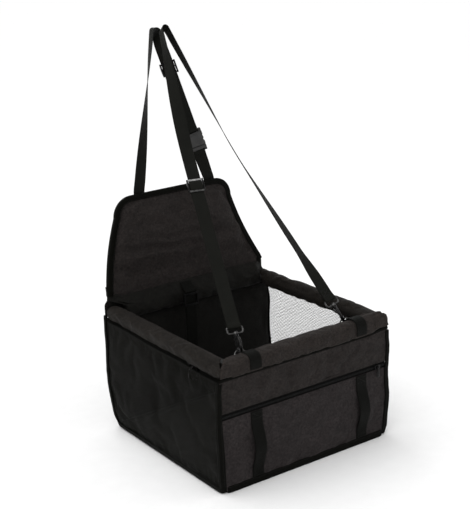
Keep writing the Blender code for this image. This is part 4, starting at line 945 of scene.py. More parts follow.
def buckle_frame():
    """A frame at the socket's mouth, with Z up the right leg."""
    leg = (HEADREST_PEAK - headrest_foot(1)).normalized()
    origin = headrest_foot(1) + leg * (BUCKLE_HEIGHT + PLUG_BASE)
    across = -strap_across(HEADREST_PEAK, headrest_middle(), BUCKLE_TURN)
    return strap_frame(origin, leg, across)


BACK_RIM_CURVE = (
    (8, 0), (13.5, -4), (20, -13), (25, -23), (27, -33), (25.5, -42), (18, -49),
)


def back_rim_curve():
    """The front of the rear channel's section, round over its tube."""
    return [
        Vector((0, HALF_D - reach * MM, BACK_RIM_TOP + drop * MM))
        for reach, drop in BACK_RIM_CURVE
    ]


def rear_skin(index, off):
    """A point of the rear channel's curve, moved out from its surface."""
    points = back_rim_curve()
    ahead = (points[index + 1] - points[index - 1]).normalized()
    return points[index] + ahead.cross(X) * off

# Cloth. Each bulge is (floor, wall, rim) in millimetres, in front and behind.

LEFT_BULGE = ((5, 8, 3), (0, 13, 12))
RIGHT_BULGE = ((6, 9, 9), (0, 3, 0))


def bulge(z, back, sizes):
    """How far a side wall stands out at a height and a share of the way to the back."""
    ends = []
    for size in sizes:
        foot, middle, rim = (value * MM for value in size)
        wall = foot + (middle - foot) * eased(z, 0, 100)
        ends.append(wall + (rim - wall) * eased(z, 195, 45))
    return ends[0] * (1 - back) + ends[1] * back


def slump(points):
    """The soft box gives: its sides bulge, its front rim sinks, its left rim lifts behind."""
    x, y, z = points[..., 0], points[..., 1], points[..., 2]
    moved = points.copy()
    corner = eased(-x, 135, 55) * smooth_array((-90 * MM - y) / (80 * MM))
    moved[..., 2] -= corner * 3 * MM * eased(z, 230, 30)
    front = 1 - eased(y + HALF_D, 40, 90)
    front *= 1 - 0.6 * eased(x, 150, 45)
    moved[..., 2] -= FRONT_RIM_SINK * front * eased(z, 172, 45)
    far = eased(-x, 160, 30) * eased(y, -30, 200)
    moved[..., 2] += LEFT_RIM_LIFT * far * eased(z, 185, 40)
    back = np.clip((y + HALF_D) / BODY_DEPTH, 0, 1)
    left = eased(-x, 150, 48)
    right = eased(x, 150, 48)
    out_left = bulge(z, back, LEFT_BULGE) * (1 - 0.7 * eased(z, 262, 12))
    out_right = bulge(z, back, RIGHT_BULGE)
    wave = 1.6 * MM * np.sin(z / (17 * MM) + y / (60 * MM)) * eased(z, 0, 40)
    wave *= smooth_array((225 * MM - z) / (20 * MM))
    moved[..., 0] += right * (out_right + wave) - left * (out_left - 0.5 * wave)
    return round_feet(moved)


def corner_pull(first, second):
    """How far a square corner is drawn back on each side, to lie on a round."""
    near = (first > 0) & (second > 0)
    kept = np.maximum(first, second) / np.maximum(np.hypot(first, second), 1e-9)
    pull = np.where(near, 1 - kept, 0)
    return first * pull, second * pull


def round_feet(points):
    """The box's side edges along the floor and its lower corners, turned in to rounds."""
    x, y, z = points[..., 0], points[..., 1], points[..., 2]
    turned = points.copy()
    past_side = np.abs(x) - (HALF_W + BINDING_THICK - FOOT_ROUND)
    side, drop = corner_pull(past_side, FOOT_ROUND - z)
    turned[..., 0] -= np.sign(x) * side
    turned[..., 2] += drop
    past_front = np.abs(y) - (HALF_D - PLAN_ROUND)
    side, front = corner_pull(np.abs(x) - (HALF_W - PLAN_ROUND), past_front)
    low = smooth_array((28 * MM - z) / (28 * MM))
    turned[..., 0] -= np.sign(x) * side * low
    turned[..., 1] -= np.sign(y) * front * low
    return turned


def normals_of(points, round_v=False):
    """Unit normals of a grid of points, from the differences along its rows and columns."""
    along = np.gradient(points, axis=0)
    if round_v:
        across = np.roll(points, -1, axis=1) - np.roll(points, 1, axis=1)
    else:
        across = np.gradient(points, axis=1)
    found = np.cross(along, across)
    return found / np.maximum(np.linalg.norm(found, axis=-1, keepdims=True), 1e-9)


def drape(
    points, pinned, out, shrink, pressure, most, seed,
    frames=20, round_v=False, stiff=0.4,
):
    """The grid after a short cloth simulation that holds its pinned points.

    A negative shrink is spare cloth, which buckles into folds. out points to the side
    that the filling presses the cloth towards, and is None for a grid that is round.
    No point moves further than most.
    """
    rows, columns = points.shape[:2]
    normal = normals_of(points, round_v)
    if out is None:
        out = points - points.mean(axis=1, keepdims=True)
    facing = (normal * np.array(out)).sum()
    if facing < 0:
        normal = -normal
    free = (~pinned)[..., None]
    wobble = soft_noise(points, 24 * MM, seed)[..., None] * 0.5 * MM
    start = points + normal * wobble * free
    faces = grid_faces(rows, columns, round_v)
    if facing < 0:
        faces = [f[::-1] for f in faces]
    mesh = bpy.data.meshes.new("drape")
    mesh.from_pydata(start.reshape(-1, 3).tolist(), [], faces)
    cloth_piece = placed("drape", mesh)
    group = cloth_piece.vertex_groups.new(name="held")
    group.add([int(i) for i in np.flatnonzero(pinned.ravel())], 1.0, "REPLACE")
    modifier = cloth_piece.modifiers.new("cloth", "CLOTH")
    cloth = modifier.settings
    cloth.quality = 5
    cloth.mass = 0.2
    cloth.tension_stiffness = cloth.compression_stiffness = 15
    cloth.shear_stiffness = 6
    cloth.bending_stiffness = stiff
    cloth.tension_damping = cloth.compression_damping = 8
    cloth.air_damping = 2
    cloth.vertex_group_mass = "held"
    cloth.shrink_min = cloth.shrink_max = shrink
    cloth.use_pressure = pressure > 0
    cloth.uniform_pressure_force = pressure
    cloth.effector_weights.gravity = 0
    modifier.collision_settings.use_collision = False
    modifier.point_cache.frame_start, modifier.point_cache.frame_end = 1, frames
    scene = bpy.context.scene
    for number in range(1, frames + 1):
        scene.frame_set(number)
    result = cloth_piece.evaluated_get(bpy.context.evaluated_depsgraph_get())
    found = np.empty(rows * columns * 3, np.float32)
    result.data.vertices.foreach_get("co", found)
    found = found.reshape(rows, columns, 3).astype(float)
    scene.frame_set(1)
    bpy.data.objects.remove(cloth_piece)
    bpy.data.meshes.remove(mesh)
    moved = found - points
    size = np.linalg.norm(moved, axis=-1, keepdims=True)
    moved *= np.tanh(size / most) / np.maximum(size / most, 1e-6)
    return points + moved * free


def flat_uv(points, u, v):
    """A UV in metres from two of the axes, by number."""
    return points[..., [u, v]]


def flat_grid(origin, across, up, columns, rows):
    """Points over a rectangle: rows along up, columns along across."""
    origin, across, up = (np.array(v, float) for v in (origin, across, up))
    i = np.linspace(0, 1, rows)[:, None, None]
    j = np.linspace(0, 1, columns)[None, :, None]
    return origin + up * i + across * j


def wall_grid(half_width, y, low, high, columns, rows):
    """Points over an upright rectangle across the box."""
    across, up = (2 * half_width, 0, 0), (0, 0, high - low)
    return flat_grid((-half_width, y, low), across, up, columns, rows)


def edge_distance(rows, columns, height, width):
    """How far each point of a grid is from its nearest border."""
    i = np.linspace(0, height, rows)[:, None]
    j = np.linspace(0, width, columns)[None, :]
    return np.minimum(np.minimum(i, height - i), np.minimum(j, width - j))


def pad_shell(shape, front, back, uv):
    """A closed shell from two grids of equal size that face each other."""
    rows, columns = front.shape[:2]
    count = rows * columns
    points = np.concatenate([front.reshape(-1, 3), back.reshape(-1, 3)])
    faces, corners = [], []
    flat = uv.reshape(-1, 2)
    for face in grid_faces(rows, columns):
        faces.append(face)
        corners.append([flat[i] for i in face])
        faces.append(tuple(count + i for i in face[::-1]))
        corners.append([flat[i] for i in face[::-1]])
    rim = [(0, j) for j in range(columns)] + [(i, columns - 1) for i in range(1, rows)]
    rim += [(rows - 1, j) for j in range(columns - 2, -1, -1)]
    rim += [(i, 0) for i in range(rows - 2, 0, -1)]
    rim = [i * columns + j for i, j in rim]
    for a, b in zip(rim, rim[1:] + rim[:1]):
        faces.append((a, b, count + b, count + a))
        deep = np.linalg.norm(points[a] - points[count + a])
        corners.append([flat[a], flat[b], flat[b] + deep, flat[a] + deep])
    shape.add(points, faces, corners)


def soften(piece):
    modifier = piece.modifiers.new("soften", "SUBSURF")
    modifier.levels = modifier.render_levels = 1


# Box shell. Both tables are (depth, height) steps in millimetres.

TURNED_EDGE = ((0.35, 0.3), (0.8, 0.35), (1.1, -0.1), (1.15, -1.5), (1.15, -4.0))
UNDER_RIM = ((0.2, 3.0), (1.2, 5.6), (4.5, 6.6), (8.5, 5.4), (11.5, 3.8))


def under_webbing(x):
    """Where cloth is held flat under a pocket band or a ring tab."""
    off = np.min([np.abs(x - band) for band in POCKET_BAND_X], axis=0)
    return off < WEBBING / 2 + 1 * MM


def turned_edge(edge, steps, way):
    """An edge of a cloth and the rows of points that turn it in."""
    return np.array([edge, *(edge + np.array([0, deep, way * up]) * MM for deep, up in steps)])


def front_panel(name, stands_for, low, high, look, seed, is_pocket, puff):
    """A sewn panel with soft folds, whose edge at the zip is turned in."""
    pitch = 4.4 * MM
    columns = int(BODY_WIDTH / pitch) + 1
    rows = int((high - low) / pitch) + 1
    grid = wall_grid(HALF_W, -HALF_D, low, high, columns, rows)
    x, z = grid[..., 0], grid[..., 2]
    border = edge_distance(rows, columns, high - low, BODY_WIDTH)
    side = HALF_W - np.abs(x)
    pinned = (border < 1 * MM) | (side < BINDING_WIDTH - 1 * MM)
    if is_pocket:
        foot = FLOOR_Z + BINDING_WIDTH
        sewn = (z > high - BAND_SEWN - 17 * MM) | (z < foot + 25 * MM)
        under_pull = (x > HALF_W - 45 * MM) & (z > high - 34 * MM)
        pinned |= (z < foot) | (under_webbing(x) & sewn) | under_pull
    cloth = drape(
        grid, pinned, (0, -1, 0), shrink=-0.028, pressure=puff, most=3.6 * MM, seed=seed,
        frames=24,
    )
    slanted = joined((x + z) * 0.36, np.zeros(border.shape), x - z)
    folds = 1 - 2.2 * np.abs(soft_noise(slanted, 34 * MM, seed))
    cloth[..., 1] -= 1.7 * MM * folds * eased(np.minimum(border, side), 14, 26) * ~pinned
    if is_pocket:
        parts = [cloth, turned_edge(cloth[-1], TURNED_EDGE, 1)]
    else:
        parts = [cloth, turned_edge(cloth[0], TURNED_EDGE, -1)]
        parts.append(turned_edge(cloth[-1], UNDER_RIM, 1))
    shape = Shape()
    for shape.look, part in zip((0, 0, 1), parts):
        part = slump(part)
        shape.grid(part, flat_uv(part, 0, 2))
    piece = shape.piece(name, [LOOKS[look], LOOKS["binding"]], "box", "oxford", stands_for)
    soften(piece)


def make_front():
    upper = ZIP_HEIGHT + ZIP_SHOWS / 2, FRONT_SEAM_Z + 2 * MM
    pocket = FLOOR_Z + GAP, ZIP_HEIGHT - ZIP_SHOWS / 2
    front_panel("upper_cloth", "front_upper_panel", *upper, "oxford", 3.0, False, 1.2)
    # The pocket's lighter cloth is partly painted light.
    front_panel("pocket_cloth", "pocket_panel", *pocket, "pocket", 5.0, True, 1.6)


def wall_pad(name, stands_for, near_y, far_y, top, out, seed, both=False):
    """An upright padded wall: a folded face to the inside and a flatter one behind."""
    inside = HALF_W - MESH_THICK - GAP
    low = FLOOR_Z + GAP
    pitch, edge_round = 5.2 * MM, 1.4 * MM
    columns, rows = int(2 * inside / pitch) + 1, int((top - low) / pitch) + 1
    border = edge_distance(rows, columns, top - low, 2 * inside)
    faces = []
    for y, way, depth in ((near_y, out, 4 * MM), (far_y, -out, 1.6 * MM if both else 0)):
        grid = wall_grid(inside, y - way * edge_round, low, top, columns, rows)
        grid[..., 1] += way * edge_round * eased(border, 0, 9)
        if depth:
            grid = drape(
                grid, border < 8 * MM, (0, way, 0),
                shrink=-0.016, pressure=0.8, most=depth, seed=seed,
            )
        faces.append(slump(grid))
    shape = Shape()
    pad_shell(shape, faces[0], faces[1], flat_uv(faces[0], 0, 2))
    piece = shape.piece(name, LOOKS["lining"], "box", "lining", stands_for)
    soften(piece)


def make_walls():
    wall_y = -HALF_D + OUTER_CLOTH + POCKET_DEPTH
    wall_pad(
        "front_wall_cushion", "front_wall_pad",
        wall_y + FRONT_PAD, wall_y, FRONT_SEAM_Z - GAP, 1, 7.0,
    )
    wall_pad(
        "back_wall_cushion", "back_wall_pad",
        HALF_D - BACK_PAD, HALF_D, BACK_SEAM_Z - GAP, -1, 8.0, both=True,
    )


def make_floor():
    """The seat's cushion and the thin cover underneath the box."""
    inner_x = HALF_W - MESH_THICK - 2 * MM
    front = -HALF_D + OUTER_CLOTH + POCKET_DEPTH + FRONT_PAD + GAP
    back = HALF_D - BACK_PAD - GAP
    low = FLOOR_Z + BOARD_THICK + GAP
    columns, rows = 68, 64
    u = np.linspace(-1, 1, columns)[None, :]
    v = np.linspace(-1, 1, rows)[:, None]
    half_y, middle = (back - front) / 2, (back + front) / 2
    draw = 5 * MM
    x = u * (inner_x - draw * (1 - v * v))
    y = middle + v * (half_y - draw * (1 - u * u))
    rise = 4 * MM * (1 - u**4) * (1 - v**4)
    border = edge_distance(rows, columns, 2 * half_y, 2 * inner_x)
    edge = 4 * MM * (1 - eased(border, 0, 10))
    top = joined(x, y, low + FLOOR_PAD_THICK + rise - edge)
    top = drape(
        top, border < 6 * MM, (0, 0, 1), shrink=-0.014, pressure=0.8, most=3 * MM, seed=9.0
    )
    bottom = joined(x, y, low + edge * 0.3)
    shape = Shape()
    pad_shell(shape, top, bottom, flat_uv(top, 0, 1))
    piece = shape.piece("floor_cushion", LOOKS["lining"], "box", "lining", "floor_pad")
    soften(piece)
    reach_x, reach_y = HALF_W - BINDING_WIDTH - GAP, HALF_D - BINDING_WIDTH - GAP
    shape = Shape()
    across, along = (2 * reach_x, 0, 0), (0, 2 * reach_y, 0)
    cover = flat_grid((-reach_x, -reach_y, 0.1 * MM), across, along, 60, 60)
    upper = cover.copy()
    upper[..., 2] = FLOOR_Z - GAP
    near = edge_distance(60, 60, 2 * reach_y, 2 * reach_x)
    cover[..., 2] += (0.5 + 0.5 * soft_noise(cover, 40 * MM, 2)) * 0.7 * MM * eased(near, 0, 20)
    pad_shell(shape, upper, cover, flat_uv(upper, 0, 1))
    shape.piece("bottom_cover_cloth", LOOKS["oxford"], "box", "oxford", "bottom_cover")


# Nets

NET_PITCH = 4.0 * MM
NET_YARN = 1.0 * MM
NET_LATTICE = (16 * MM, 8.4 * MM)


def net_field(sign, low, high, half_y):
    """How far the net's cloth stands off its flat plane, over a coarse grid."""
    columns, rows = 78, 48
    plane = sign * (HALF_W - MESH_THICK / 2)
    grid = flat_grid((plane, -half_y, low), (0, 2 * half_y, 0), (0, 0, high - low), columns, rows)
    border = edge_distance(rows, columns, high - low, 2 * half_y)
    cloth = drape(
        grid, border < 9 * MM, (sign, 0, 0), shrink=-0.012, pressure=0.25, most=5 * MM,
        seed=11.0 + sign, frames=26, stiff=1.2,
    )
    return cloth - grid


def sample_grid(field, s, t):
    """Smooth values of a grid at places from 0 to 1 along its rows and columns."""
    rows, columns = field.shape[:2]
    i, j = np.clip(s, 0, 1) * (rows - 1), np.clip(t, 0, 1) * (columns - 1)
    i0, j0 = np.minimum(i.astype(int), rows - 2), np.minimum(j.astype(int), columns - 2)
    a, b = (i - i0)[..., None], (j - j0)[..., None]
    top = field[i0, j0] * (1 - b) + field[i0, j0 + 1] * b
    foot = field[i0 + 1, j0] * (1 - b) + field[i0 + 1, j0 + 1] * b
    return top * (1 - a) + foot * a


def make_net(sign, name, stands_for):
    """A knitted net of six-sided meshes, each strand a strip between three-way knots."""
    low, high = FLOOR_Z + GAP, SIDE_SEAM_Z - GAP
    half_y = HALF_D - OUTER_CLOTH - GAP
    field = net_field(sign, low, high, half_y)
    side = NET_PITCH / math.sqrt(3)
    rows = int((high - low) / (1.5 * side)) + 2
    columns = int(2 * half_y / NET_PITCH) + 2
    knots, links = {}, []
    for r in range(rows):
        for c in range(columns):
            y = -half_y + (c + (r % 2) * 0.5) * NET_PITCH
            z = low + r * 1.5 * side
            knots[r, c, 0] = (y, z)
            knots[r, c, 1] = (y, z + side)
            links.append(((r, c, 0), (r, c, 1)))
            left = (r + 1, c - 1 + r % 2, 0)
            links.append(((r, c, 1), left))
            links.append(((r, c, 1), (left[0], left[1] + 1, 0)))

    def inside(key):
        if key not in knots:
            return False
        y, z = knots[key]
        return -half_y <= y <= half_y and low <= z <= high

    corners, faces, spots = {}, [], []
    spread = NET_YARN / 2 / math.sin(math.pi / 3)
    for key, (y, z) in knots.items():
        if not inside(key):
            continue
        turn = math.pi / 2 if key[2] else -math.pi / 2
        base = len(spots)
        lattice = (y / NET_LATTICE[0] + way * z / NET_LATTICE[1] for way in (-1, 1))
        lines = max(abs(math.cos(math.pi * place)) for place in lattice)
        thick = spread * (0.82 + 0.5 * lines**8)
        for k in range(3):
            a = turn + math.pi * 2 / 3 * k
            spots.append((y + thick * math.cos(a), z + thick * math.sin(a)))
        corners[key] = base
        faces.append((base, base + 1, base + 2))
    for first, second in links:
        if first not in corners or second not in corners:
            continue
        (ya, za), (yb, zb) = knots[first], knots[second]
        ends = []
        across, up = yb - ya, zb - za
        for key, y, z, way in ((first, ya, za, -1), (second, yb, zb, 1)):
            base = corners[key]
            off = {i: (spots[i][0] - y, spots[i][1] - z) for i in range(base, base + 3)}
            trio = sorted(off, key=lambda i: way * (off[i][0] * across + off[i][1] * up))
            ends.append(sorted(trio[:2], key=lambda i: off[i][0] * up - off[i][1] * across))
        faces.append((ends[0][0], ends[0][1], ends[1][1], ends[1][0]))
    spots = np.array(spots)
    s = (spots[:, 1] - low) / (high - low)
    t = (spots[:, 0] + half_y) / (2 * half_y)
    offset = sample_grid(field, s, t)
    plane = np.full(len(spots), sign * (HALF_W - MESH_THICK / 2))
    points = slump(joined(plane, spots[:, 0], spots[:, 1]) + offset)
    shape = Shape()
    shape.add(points, faces, [[spots[i] for i in face] for face in faces])
    piece = shape.piece(name, LOOKS["net"], "box", "net", stands_for, smooth=False)


def make_nets():
    make_net(-1, "net_left", "side_net_left")
    make_net(1, "net_right", "side_net_right")

# Rim sleeves, the rear channel and bindings

OPEN_END = ((0.965, 1.1), (0.90, 1.6), (0.83, 0.9), (0.79, -1.5), (0.76, -5.0), (0.62, -6.0))
CLOSED_END = (*OPEN_END[:2], (0.4, 1.6))


def ring_of(half_u, half_v, power, count):
    """A rounded outline as arrays of its two coordinates, starting at the foot."""
    a = 2 * np.pi * np.arange(count) / count - np.pi / 2
    c, s = np.cos(a), np.sin(a)
    along = np.sign(c) * np.abs(c) ** (2 / power) * half_u
    up = np.sign(s) * np.abs(s) ** (2 / power) * half_v
    return along, up, a


def gathered(grid, centre, angle, from_end, seed):
    """Folds that radiate from a sleeve's open end and die out along it."""
    ripple = np.array([
        noise.noise(Vector((math.cos(t) * 2.1 + seed, math.sin(t) * 2.1, seed * 2)))
        + 0.7 * noise.noise(Vector((math.cos(t) * 4.6, math.sin(t) * 4.6 + seed, seed)))
        for t in angle
    ])
    fade = np.exp(-from_end / (15 * MM))
    out = grid - centre
    out /= np.maximum(np.linalg.norm(out, axis=-1, keepdims=True), 1e-9)
    return grid + out * ((ripple[None, :] * 4.6 - 1.2) * MM * fade)[..., None]


def clear_of_tube(points, axis, ahead):
    """Cloth kept outside the tube that it goes round."""
    off = (points - axis) * (1 - ahead)
    away = np.linalg.norm(off, axis=-1, keepdims=True)
    return points + off * (np.maximum(SLEEVE_ROOM / np.maximum(away, 1e-9), 1) - 1)


def turned_in(last, middle, steps, ahead):
    """Rows that close a sleeve's end, from (size, reach in millimetres) steps."""
    return [middle + (last - middle) * size + ahead * reach * MM for size, reach in steps]


def sleeve(
    name, grid, centre, angle, from_end, pinned, look, stands_for, seed, far_end, grain
):
    """A padded tube of cloth: draped, gathered at its open ends, and turned in at both."""
    cloth = drape(
        grid, pinned, None, shrink=-0.02, pressure=1.2, most=2 * MM, seed=seed,
        frames=22, round_v=True,
    )
    cloth = gathered(cloth, centre, angle, from_end, seed)
    ahead = np.array(grain)
    first = turned_in(cloth[0], centre[0], OPEN_END, -ahead)[::-1]
    whole = np.concatenate([first, cloth, turned_in(cloth[-1], centre[-1], far_end, ahead)])
    whole = clear_of_tube(slump(whole), np.array(centre[0, 0]), ahead)
    u = lengths_along(np.vstack([whole[6], whole[6, :1]]))
    v = whole @ ahead
    uv = joined(u[None, :], np.concatenate([v, v[:, :1]], axis=1))
    shape = Shape()
    shape.grid(whole, uv, round_v=True)
    piece = shape.piece(name, LOOKS[look], "box", "oxford", stands_for)
    soften(piece)


def make_rims():
    """The front sleeve between its notched corners, and a lower one along each side."""
    notch = 1.2 * MM
    count, rows = 56, 92
    along, up, angle = ring_of(FRONT_RIM_HALF_WIDTH, RIM_HALF_HEIGHT, 2.8, count)
    share = np.linspace(-1, 1, rows)[:, None]
    reach = FRAME_X - along - notch - 2 * MM * eased(up, -8, 26)
    x = share * reach[None, :]
    full = eased(x, 110, 60)
    rise = FRONT_RIM_RISE / RIM_HALF_HEIGHT
    up = up[None, :] * np.where(up > 0, rise + (1 - rise) * full, 1)
    grid = joined(x, FRONT_TUBE_Y + along, FRAME_Z + up)
    centre = joined(share * (FRAME_X - notch), FRONT_TUBE_Y, FRAME_Z)
    from_end = (1 - np.abs(share)) * reach[None, :]
    seam = np.abs(angle + math.pi / 2) < math.radians(24)
    pinned = under_webbing(x) | seam[None, :] | (from_end < 4 * MM)
    sleeve(
        "front_rim", grid, centre, angle, from_end, pinned, "rim", "rim_sleeve_front",
        2.0, OPEN_END, (1, 0, 0),
    )
    for side, sign in SIDES:
        along, up, angle = ring_of(SIDE_RIM_HALF_WIDTH, RIM_HALF_HEIGHT, 2.1, count)
        inward = -sign * along
        along = np.where(inward > 0, along * SIDE_RIM_INNER / SIDE_RIM_HALF_WIDTH, along)
        top = LEFT_RIM_RISE if sign < 0 else RIGHT_RIM_RISE
        foot = FRAME_Z - SIDE_SEAM_Z - 4.5 * MM * eased(inward, -6, 14)
        up = np.where(up > 0, up * top / RIM_HALF_HEIGHT, np.maximum(up, -foot))
        start = FRONT_TUBE_Y - along * sign + notch
        end = HALF_D - BACK_PAD - 2 * GAP
        share = np.linspace(0, 1, rows)[:, None]
        y = start[None, :] + (end - start[None, :]) * share
        grid = joined(sign * FRAME_X + along, y, FRAME_Z + up)
        centre = joined(sign * FRAME_X, y.mean(axis=1, keepdims=True), FRAME_Z)
        from_end = y - start[None, :]
        seam = np.abs(angle + math.pi / 2) < math.radians(34)
        pinned = seam[None, :] | (from_end < 4 * MM) | (end - y < 4 * MM)
        # The side rims take the darker side rim cloth as painted shade.
        sleeve(
            side + "_rim", grid, centre, angle, from_end, pinned, "side_rim_shaded",
            "rim_sleeve_" + side, 4.0 + sign, CLOSED_END, (0, 1, 0),
        )


def make_channel():
    """The cloth round the rear tube and the sheet behind it."""
    start = (HALF_D - 1 * MM, BACK_RIM_TOP, 0)
    end = (HALF_D - 10 * MM, BACK_SEAM_Z + 0.5 * MM, 0)
    front = spline([start, *((p.y, p.z, 0) for p in back_rim_curve()), end], 2.6 * MM)[:, :2]
    inside = FRAME_X - 12.5 * MM
    columns = 74
    x = np.linspace(-inside, inside, columns)
    above_rims = eased(front[:, 1:] - RIM_TOP, -4, 7)
    wide = 1 + (HALF_W - 12 * MM - inside) / inside * above_rims
    left = smooth_array(-x / inside)
    wide = wide + (HALF_W - 3 * MM - inside) / inside * above_rims * left * 0.5
    near_end = smooth_array((np.abs(x) - inside + 26 * MM) / (26 * MM))[None, :]
    flat = front[:, :1] + (HALF_D - 5 * MM - front[:, :1]) * near_end * above_rims
    grid = joined(x[None, :] * wide, flat, front[:, 1:])
    rows = grid.shape[0]
    pinned = np.zeros((rows, columns), bool)
    pinned[:3] = pinned[-3:] = True
    pinned[:, :2] = pinned[:, -2:] = True
    upper = (np.arange(rows) < rows * 0.45)[:, None]
    pinned |= (np.abs(x - TETHER_X) < 16 * MM)[None, :] & upper
    cloth = drape(
        grid, pinned, (0, -1, 0), shrink=-0.02, pressure=0.8, most=2.2 * MM, seed=13.0
    )
    back = grid.copy()
    back[..., 1] = HALF_D - 0.4 * MM
    shape = Shape()
    pad_shell(shape, slump(cloth), slump(back), flat_uv(grid, 0, 2))
    rows, columns = 14, 80
    sheet = wall_grid(HALF_W, HALF_D, BACK_SEAM_Z, BACK_RIM_TOP, columns, rows)
    border = edge_distance(rows, columns, BACK_RIM_HEIGHT, BODY_WIDTH)
    ripple = soft_noise(sheet, 34 * MM, 6) * 0.8 * MM
    sheet[..., 0] *= 1 - 0.055 * eased(sheet[..., 2], 252, 16) * (sheet[..., 0] > 0)
    sheet[..., 1] += ripple * eased(border, 0, 8)
    behind = sheet.copy()
    behind[..., 1] = HALF_D - BACK_SHEET
    sheet[..., 1] -= 0.9 * MM * (1 - eased(border, 0, 4))
    pad_shell(shape, slump(sheet), slump(behind), flat_uv(sheet, 0, 2))
    # The lining cloth here is darker than the Oxford that the channel is made of: painted shade
    # for the shaded hollow under the backrest.
    piece = shape.piece("rear_channel", LOOKS["lining"], "box", "lining", "rim_sleeve_back")
    soften(piece)


TAPE_ROUND = 3 * MM
TAPE_SECTION = (
    (-12, 0.3), (-12.3, 0.9), (-11.8, 1.55), (-9, 2.15), (-4.8, 1.9), (-1.2, 2), (0.4, 1.85),
    (1.4, 1.44), (1.9, 0.5), (2, -1.2), (1.9, -4.8), (2.15, -9), (1.55, -11.8), (0.9, -12.3),
    (0.3, -12), (0.3, -6), (0.3, 0.3), (-6, 0.3),
)


def tape_over_edge(name, path, outward, normal, stands_for, seed):
    """Tape folded over a box edge: an L section, softly rounded and a little uneven."""
    rounded, ways = [], []
    for i, point in enumerate(path):
        if 0 < i < len(path) - 1:
            before, after = ((path[k] - point).normalized() for k in (i - 1, i + 1))
            centre = point + (before + after) * TAPE_ROUND
            for k in range(7):
                a = math.pi / 2 * k / 6
                way = outward[i - 1] * math.cos(a) + outward[i] * math.sin(a)
                rounded.append(centre + way * TAPE_ROUND)
                ways.append(way)
        else:
            rounded.append(point)
            ways.append(outward[0] if i == 0 else outward[-1])
    rows = spline([(*p, *w) for p, w in zip(rounded, ways)], 3.2 * MM)
    section = [(a * MM, b * MM) for a, b in TAPE_SECTION]
    around = lengths_along(np.array([*section, section[0]]))
    run = lengths_along(rows[:, :3])
    points, uvs = [], []
    for place, row in zip(run, rows):
        point, way = Vector(row[:3]), Vector(row[3:6]).normalized()
        wave = noise.noise(Vector((place / (26 * MM), seed, 0))) * 0.9 * MM
        other = noise.noise(Vector((place / (31 * MM), seed + 9, 0))) * 0.9 * MM
        puff = noise.noise(Vector((place / (13 * MM), seed + 5, 3))) * 0.35 * MM
        ring = []
        for a, b in section:
            far_a, far_b = smoothstep(-a / BINDING_WIDTH), smoothstep(-b / BINDING_WIDTH)
            wide = UPRIGHT_BINDING + (1 - UPRIGHT_BINDING) * abs(way.z)
            lifted_a = a * (wide if a < 0 else 1) + wave * far_a + (puff if a > 1 * MM else 0)
            lifted_b = b * (wide if b < 0 else 1) + other * far_b + (puff if b > 1 * MM else 0)
            ring.append(point + way * lifted_a + normal * lifted_b)
        points.append(ring)
        uvs.append([(s, place) for s in around])
    grid = slump(np.array([[tuple(p) for p in ring] for ring in points]))
    shape = Shape()
    shape.grid(grid, np.array(uvs), round_v=True, ends=True)
    shape.piece(name, LOOKS["binding"], "box", "binding", stands_for, angle=60)


def make_bindings():
    """The tape round both sides' edges and along the foot of the front and back."""
    for side, sign in SIDES:
        edge_x = sign * HALF_W
        path = [
            Vector((edge_x, -HALF_D, FRONT_SEAM_Z - GAP)),
            Vector((edge_x, -HALF_D, FLOOR_Z)),
            Vector((edge_x, HALF_D, FLOOR_Z)),
            Vector((edge_x, HALF_D, BACK_SEAM_Z + 4 * MM)),
        ]
        name, stands_for = "side_tape_" + side, "side_binding_" + side
        tape_over_edge(name, path, [-Y, -Z, Y], X * sign, stands_for, 20.0 + sign)
    reach = HALF_W - BINDING_WIDTH - GAP
    for end, sign in (("front", -1), ("back", 1)):
        path = [Vector((x, sign * HALF_D, FLOOR_Z)) for x in (-reach, reach)]
        tape_over_edge(end + "_foot_tape", path, [-Z], Y * sign, end + "_hem", 30.0 + sign)


# Backrest


def backrest_sway(up):
    """How far the panel's middle line is to the left at a height above its seam."""
    return BACKREST_SHIFT + BACKREST_SWAY * np.sin(np.pi * np.clip(up / BACKREST_HEIGHT, 0, 1))


def backrest_point(x, up, out):
    """on_backrest for arrays, with the panel sewn on to the left of the middle."""
    c, s = math.cos(-BACKREST_LEAN), math.sin(-BACKREST_LEAN)
    y, z = HINGE.y - out * c - up * s, HINGE.z - out * s + up * c
    return joined(x - backrest_sway(up), y, z)


def backrest_levels(pitch):
    """Heights a pitch apart up the backrest, and closer round its upper corners."""
    straight = BACKREST_HEIGHT - BACKREST_CORNER
    levels = list(np.arange(0, straight, pitch))
    levels += [straight + BACKREST_CORNER * math.sin(math.pi / 2 * i / 11) for i in range(12)]
    return np.array(levels)


